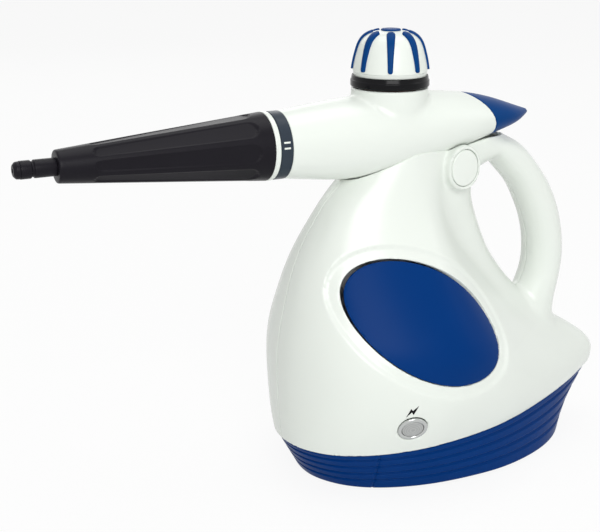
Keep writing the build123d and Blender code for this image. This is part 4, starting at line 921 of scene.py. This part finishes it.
foot_profile = rounded([(0.0, 0), (0.0, 4.4), (3.0, 5.2), (3.0, 0)], 0.8)
foot_places = [(x, side * y, 0) for x, y in ((21.2, 38.0), (130.4, 22.3)) for side in (-1, 1)]
feet = [turned(foot_profile, place, (0, 0, 1), 48) for place in foot_places]
mesh_piece("base_feet", feet, "rubber_feet")


# Nozzle
CONE_TIP, CONE_END, TIP_RADIUS, END_RADIUS = -169.7, -52.5, 8.8, 19.3
FLUTE_FRONT, FLUTE_REAR, FLUTE_DEPTH, FLUTES = -148.0, -66.0, 1.0, 8


def cone_radius(x):
    return TIP_RADIUS + (x - CONE_TIP) * (END_RADIUS - TIP_RADIUS) / (CONE_END - CONE_TIP)


def fluted(distance, radius, turns):
    """Flat tapering flutes with round ends, cut in the outside of the cone."""
    full = cone_radius(distance)
    pitch = 2 * math.pi / FLUTES
    beside = full * np.sin((turns + pitch / 2) % pitch - pitch / 2)
    half_width = 3.0 + 2.5 * np.clip((distance - FLUTE_FRONT) / (FLUTE_REAR - FLUTE_FRONT), 0, 1)
    past = np.maximum(FLUTE_FRONT - distance, distance - FLUTE_REAR)
    outside = np.where(past > 0, np.hypot(beside, past), np.abs(beside)) - half_width
    floor = np.hypot(full - FLUTE_DEPTH, beside)
    deep = radius - soft_step(-outside / 0.55) * np.maximum(full - floor, 0)
    return np.where(radius > full - 0.6, deep, radius)


outer = [(x, cone_radius(x)) for x in np.linspace(-168.6, -53.2, 150)]
cone_profile = [(CONE_TIP, 3.9), (CONE_TIP, 7.9), (-169.6, 8.4), (-169.25, 8.75), *outer, (-52.7, 19.2),
                (-52.52, 18.8), (CONE_END, 15.6), (-44.9, 15.6), (-44.6, 15.3), (-44.6, 13.4), (-54.3, 13.4),
                (-54.3, 16.9), (-157.7, 7.6), (-157.7, 3.9)]
cone = turned(cone_profile, *NOZZLE_AXIS, 256, fluted)


def bayonet_lug(middle, steps=8):
    """One lug of the bayonet, at a turn from the top."""
    half_turn = math.asin(4.5 / 17.3)
    corners = ((-46.7, 15.2), (-46.7, 17.3), (-44.3, 17.3), (-44.3, 15.2))
    rings = []
    for turn in np.linspace(middle - half_turn, middle + half_turn, steps + 1):
        rings.append([(x, r * math.sin(turn), BARREL_Z + r * math.cos(turn)) for x, r in corners])
    return lofted(rings)


mesh_piece("fluted_cone", [cone, bayonet_lug(0), bayonet_lug(math.pi)], "nozzle_cone", sharp=50)
collar_profile = rounded([(-52.48, 15.62), (-52.48, 19.4), (-49.5, 19.4), (-49.5, 15.62)], 0.5)
mesh_piece("cone_collar", [turned(collar_profile, *NOZZLE_AXIS, 128)], "nozzle_collar")
tip_profile = rounded([(-188.5, 1.2), (-188.5, 4.85), (-182.9, 4.85), (-182.5, 4.15), (-181.5, 4.15),
                       (-181.1, 4.85), (CONE_TIP, 4.85), (CONE_TIP, 3.83), (-157.7, 3.83), (-157.7, 3.22),
                       (-175.0, 3.22), (-175.0, 1.2)], 0.35)
mesh_piece("turned_tip", [turned(tip_profile, *NOZZLE_AXIS)], "nozzle_tip")
nose_profile = rounded([(-192.0, 1.2), (-192.0, 3.0), (-190.6, 4.5), (-188.5, 4.7), (-188.5, 1.2)], 0.4)
mesh_piece("steam_nose", [turned(nose_profile, *NOZZLE_AXIS)], "nozzle_nose")

# Two white index bars on the front ring
bar_corners, bars = ((18.9, -0.5), (19.28, -0.5), (19.28, 0.5), (18.9, 0.5)), []
for turn in (math.radians(284.6), math.radians(275.1)):
    out, side = (np.array((0.0, math.sin(k), math.cos(k))) for k in (turn, turn + math.pi / 2))
    outline = [(0, 0, BARREL_Z) + out * r + side * s for r, s in bar_corners]
    bars.append(lofted([[point + (x, 0, 0) for point in outline] for x in (-47.6, -43.8)]))
mesh_piece("index_bars", bars, "end_ring", finish="white", replaced=())

# Cap
dome_line = [(244.3, 21.6), (246.4, 21.35), (248.5, 21.0), (251.7, 20.35), (255.0, 19.5), (257.6, 18.75),
             (260.0, 17.8), (262.0, 16.6), (263.7, 15.0), (265.1, 12.9), (266.1, 10.3), (266.8, 7.0),
             (267.1, 3.6)]
dome_z, dome_r = (spline(range(len(dome_line)), [place[k] for place in dome_line]) for k in (0, 1))
fine = [(float(dome_z(k)), float(dome_r(k))) for k in np.linspace(0, len(dome_line) - 1, 70)]
DOME_WIDE = dome_line[0][1]
inside = [(z - 2.0 * (1 - (r / DOME_WIDE) ** 3) - 0.2, max(r - 2.2 * (r / DOME_WIDE) ** 2, 0.0))
          for z, r in fine[::-1]]
dome_profile = [(239.9, 19.4), (239.9, 21.4), (240.1, 21.6), (240.5, 21.55), (240.7, 21.2), (243.7, 21.2),
                (243.9, 21.3), (244.0, 21.5), *fine, (266.6, 2.6), *inside[2:], (244.0, 19.4)]
mesh_piece("cap_shell", [turned(dome_profile, *UPRIGHT, 160)], "cap_dome", sharp=45)
ring_profile = rounded([(235.6, 6.0), (235.6, 22.5), (236.0, 22.9), (239.2, 22.9), (239.7, 22.45),
                        (241.6, 22.15), (242.0, 21.9), (242.0, 21.55), (241.2, 21.55), (241.2, 21.95),
                        (237.6, 21.95), (237.6, 12.0), (250.6, 12.0), (250.6, 1.5), (249.2, 1.5),
                        (249.2, 6.0)], 0.35)
mesh_piece("cap_ring", [turned(ring_profile, *UPRIGHT, 160)], "cap_base", finish="cap_black")


RIB_FOOT_Z, RIB_HEAD_REACH, RIB_PROUD = 244.9, 10.0, 1.2
RIB_FOOT_HALF, RIB_HEAD_HALF = 1.5, 2.5
# A rib's section, in shares of its half width and of how far it stands out
RIB_SECTION = ((-1.0, -0.6), (-1.0, 0.45), (-0.86, 0.85), (-0.6, 1.0), (0.6, 1.0), (0.86, 0.85), (1.0, 0.45),
               (1.0, -0.6))


def rib_mesh():
    """One rib, standing over +X, that follows the dome's line, widens towards the top and has round ends."""
    places = np.array([k for k in np.linspace(0, len(dome_line) - 1, 1200)
                       if dome_z(k) > RIB_FOOT_Z and dome_r(k) > RIB_HEAD_REACH])
    line = np.stack([dome_z(places), dome_r(places)], axis=1)
    travel = np.concatenate([[0], np.cumsum(np.linalg.norm(np.diff(line, axis=0), axis=1))])
    whole, quarter = travel[-1], 1 - np.cos(np.linspace(0, math.pi / 2, 9))

    def at(stop):
        return np.array([np.interp(stop, travel, line[:, k]) for k in (0, 1)])

    rings = []
    for stop in (*RIB_FOOT_HALF * quarter, *np.linspace(2.2, whole - 3.2, 34),
                 *(whole - RIB_HEAD_HALF * quarter[::-1])):
        z, r = at(stop)
        run = at(stop + 0.2) - at(stop) if stop + 0.2 <= whole else at(stop) - at(stop - 0.2)
        rise, spread = run / np.linalg.norm(run)
        half_width = RIB_FOOT_HALF + (RIB_HEAD_HALF - RIB_FOOT_HALF) * float(soft_step(stop / whole))
        for left, end_width in ((stop, RIB_FOOT_HALF), (whole - stop, RIB_HEAD_HALF)):
            if left < end_width:
                bow = max(math.sqrt(1 - (1 - left / end_width) ** 2), 0.04)
                half_width = min(half_width, bow * end_width)
        proud = RIB_PROUD * min(1.0, 0.3 + half_width)
        rings.append([(r + v * proud * rise, u * half_width, z - v * proud * spread) for u, v in RIB_SECTION])
    points, faces = lofted(rings)
    mesh = bpy.data.meshes.new("rib")
    mesh.from_pydata((points * MM).tolist(), [], faces)
    mesh.shade_smooth()
    return mesh


def around_axis(name, mesh, count, first, centre, material):
    """A node tree that stands copies of a mesh round an upright axis, made into one plain mesh."""
    tree = bpy.data.node_groups.new(name, "GeometryNodeTree")

    def socket(name, kind, in_out="INPUT"):
        return tree.interface.new_socket(name, in_out=in_out, socket_type="NodeSocket" + kind).identifier

    socket("Piece", "Geometry")
    settings = {socket("Count", "Int"): count, socket("First turn", "Float"): first,
                socket("Centre", "Vector"): centre}
    socket("Whole", "Geometry", "OUTPUT")

    def node(kind, inputs=None, **settings):
        made = tree.nodes.new(kind)
        for key, value in settings.items():
            setattr(made, key, value)
        for key, value in (inputs or {}).items():
            if isinstance(value, bpy.types.NodeSocket):
                tree.links.new(value, made.inputs[key])
            else:
                made.inputs[key].default_value = value
        return made

    group_in, group_out = node("NodeGroupInput"), node("NodeGroupOutput")
    given = group_in.outputs
    spots = node("GeometryNodePoints", {"Count": given["Count"], "Position": given["Centre"]})
    pitch = node("ShaderNodeMath", {0: 2 * math.pi, 1: given["Count"]}, operation="DIVIDE")
    turn = node("ShaderNodeMath", {0: node("GeometryNodeInputIndex").outputs[0], 1: pitch.outputs[0],
                                   2: given["First turn"]}, operation="MULTIPLY_ADD")
    facing = node("ShaderNodeCombineXYZ", {"Z": turn.outputs[0]})
    copies = node("GeometryNodeInstanceOnPoints", {"Points": spots.outputs[0], "Instance": given["Piece"],
                                                   "Rotation": facing.outputs[0]})
    real = node("GeometryNodeRealizeInstances", {"Geometry": copies.outputs[0]})
    painted = node("GeometryNodeSetMaterial", {"Geometry": real.outputs[0], "Material": material})
    tree.links.new(painted.outputs[0], group_out.inputs["Whole"])
    seed = bpy.data.objects.new(name, mesh)
    bpy.context.collection.objects.link(seed)
    modifier = seed.modifiers.new(name, "NODES")
    modifier.node_group = tree
    for key, value in settings.items():
        modifier[key] = value
    ready = seed.evaluated_get(bpy.context.evaluated_depsgraph_get())
    baked = bpy.data.meshes.new_from_object(ready)
    seed.modifiers.remove(modifier)
    seed.data = baked
    turn_outward(baked)
    baked.shade_smooth()
    baked.set_sharp_from_angle(angle=math.radians(48))
    return seed


ribs = around_axis("cap_grip_ribs", rib_mesh(), count=8, first=math.radians(15), centre=(FILLER_X * MM, 0, 0),
                   material=finishes["lever_blue"])
put(ribs, "cap_ribs", ("cap_ribs",))
disc_profile = rounded([(262.9, 0), (262.9, 3.0), (266.4, 3.0), (266.4, 5.7), (268.0, 5.7), (268.0, 0)], 0.7)
mesh_piece("cap_top_disc", [turned(disc_profile, *UPRIGHT)], "cap_disc")

# Pilot lamp, its sign and the lock
bezel_profile = rounded([(-8.0, 6.42), (-8.0, 7.5), (-0.6, 7.5), (-0.6, 8.75), (0.7, 8.75), (1.2, 7.7),
                         (1.2, 6.9), (0.5, 6.42)], 0.45)
# The bezel's chrome carries painted dark reflections in its colour
mesh_piece("lamp_bezel", [turned(bezel_profile, LAMP_AT, LAMP_OUT)], "pilot_bezel")
lens_profile = [(-5.0, 0), (-5.0, 6.38), (0.3, 6.38), (0.7, 6.1), (0.9, 5.2), (1.15, 3.6), (1.3, 1.8),
                (1.35, 0)]
mesh_piece("lamp_lens", [turned(lens_profile, LAMP_AT, LAMP_OUT)], "pilot_lens", sharp=30)


def on_body(x, z, proud):
    """A point on the left side of the body, raised by a distance."""
    spot = np.array((x, -66.0, z))
    for _ in range(12):
        value = plain_body(*spot)
        slope = np.array([plain_body(*(spot + step)) - value for step in np.eye(3) * 0.05]) / 0.05
        spot[1] -= float(value / slope[1])
    return spot + slope / np.linalg.norm(slope) * proud


# Sign for power on: a slanted bolt of lightning, printed over the lamp
bolt = ((7.0, 56.4), (9.1, 62.0), (10.3, 60.5), (13.3, 63.6), (11.0, 57.7), (9.8, 59.5))
bolt_line = [np.array(start) * (1 - t) + np.array(end) * t
             for start, end in zip(bolt, bolt[1:] + bolt[:1]) for t in np.linspace(0, 1, 4, endpoint=False)]
sign = lofted([[on_body(x, z, proud) for x, z in bolt_line] for proud in (-0.4, 0.12)])
mesh_piece("power_sign", [sign], "left_shell", finish="cap_black", replaced=())


def lock_end(profile):
    """A turned end of the lock, with its wide head drawn in to the head's oval."""
    points, faces = turned(profile, (LOCK[0], 0, LOCK[1]), (0, 1, 0))
    aside = points[:, 0] - LOCK[0]
    share = np.clip((np.hypot(aside, points[:, 2] - LOCK[1]) - 4.0) / 2.0, 0, 1)
    points[:, 0] += share * (LOCK_HEAD_X - LOCK[0] + aside * (LOCK_NARROW - 1))
    return points, faces


button_profile = rounded([(-24.3, 0), (-24.3, LOCK_RADIUS), (-16.3, LOCK_RADIUS), (-16.3, 4.0), (20.3, 4.0),
                          (20.3, 3.0), (24.3, 3.0), (24.3, 0)], 1.0)
mesh_piece("lock_bolt", [lock_end(button_profile)], "lock_button")
far_profile = rounded([(20.3, 3.02), (20.3, LOCK_RADIUS), (28.3, LOCK_RADIUS), (28.3, 0), (24.5, 0),
                       (24.5, 3.02)], 1.0)
mesh_piece("lock_far_cap", [lock_end(far_profile)], "lock_cap")


# Room, lamps and camera
def lamp(name, place, size, power, aim=(0.03, 0, 0.12)):
    data = bpy.data.lights.new(name, "AREA")
    data.shape, data.size, data.size_y, data.energy = "RECTANGLE", size[0], size[1], power
    made = bpy.data.objects.new(name, data)
    made.location = place
    made.rotation_euler = (Vector(aim) - Vector(place)).to_track_quat("-Z", "Y").to_euler()
    bpy.context.collection.objects.link(made)


lamp("front_soft_box", (-0.6, -1.6, 1.0), (1.2, 1.0), 21.0)
lamp("side_soft_box", (1.6, -0.9, 1.1), (0.9, 1.2), 2.5)
lamp("top_soft_box", (0.1, 0.1, 1.9), (1.4, 1.4), 13.0)
lamp("rear_soft_box", (0.2, 1.7, 1.0), (1.4, 0.9), 4.0)


def seen_ray(finish):
    """1 for rays that see the backdrop: from the camera, from gloss and through glass."""
    path = finish.node("ShaderNodeLightPath")
    seen = path.out("Is Camera Ray").at_least(path.out("Is Glossy Ray"))
    return seen.at_least(path.out("Is Transmission Ray"))


world = bpy.data.worlds.new("studio")
bpy.context.scene.world = world
air = Finish("studio", world)
soft = air.node("ShaderNodeBackground", {"Color": (0.97, 0.98, 0.96, 1), "Strength": 0.34})
bright = air.node("ShaderNodeBackground", {"Color": (1, 1, 1, 1), "Strength": 1.0})
blended = air.node("ShaderNodeMixShader", {0: seen_ray(air), 1: soft.out(), 2: bright.out()})
air.end(blended.out(), "ShaderNodeOutputWorld")

ground = Finish("pale_floor")
speck = ground.noise(3, 2)
matt = ground.node("ShaderNodeBsdfPrincipled", {
    "Base Color": ground.mix(speck, (0.86, 0.86, 0.86), (0.88, 0.88, 0.88)), "Roughness": 0.9})
lit = ground.node("ShaderNodeEmission", {"Color": (1, 1, 1, 1), "Strength": 1.0})
ground_finish = ground.end(ground.node("ShaderNodeMixShader", {
    0: seen_ray(ground) * 0.9, 1: matt.out(), 2: lit.out()}).out())
floor_mesh = bpy.data.meshes.new("studio_floor")
floor_mesh.from_pydata([(-15, -15, 0), (15, -15, 0), (15, 15, 0), (-15, 15, 0)], [], [(0, 1, 2, 3)])
floor_mesh.materials.append(ground_finish)
floor = bpy.data.objects.new("studio_floor", floor_mesh)
bpy.context.collection.objects.link(floor)

camera_data = bpy.data.cameras.new("camera")
camera_data.lens, camera_data.sensor_width = 71.88, 36.0
camera = bpy.data.objects.new("camera", camera_data)
camera.location = (-0.3238, -0.5993, 0.3431)
aim = Vector((-0.0289, 0.0, 0.1338)) - Vector(camera.location)
camera.rotation_euler = aim.to_track_quat("-Z", "Y").to_euler()
bpy.context.collection.objects.link(camera)
bpy.context.scene.camera = camera
bpy.context.scene.view_settings.view_transform = "Standard"
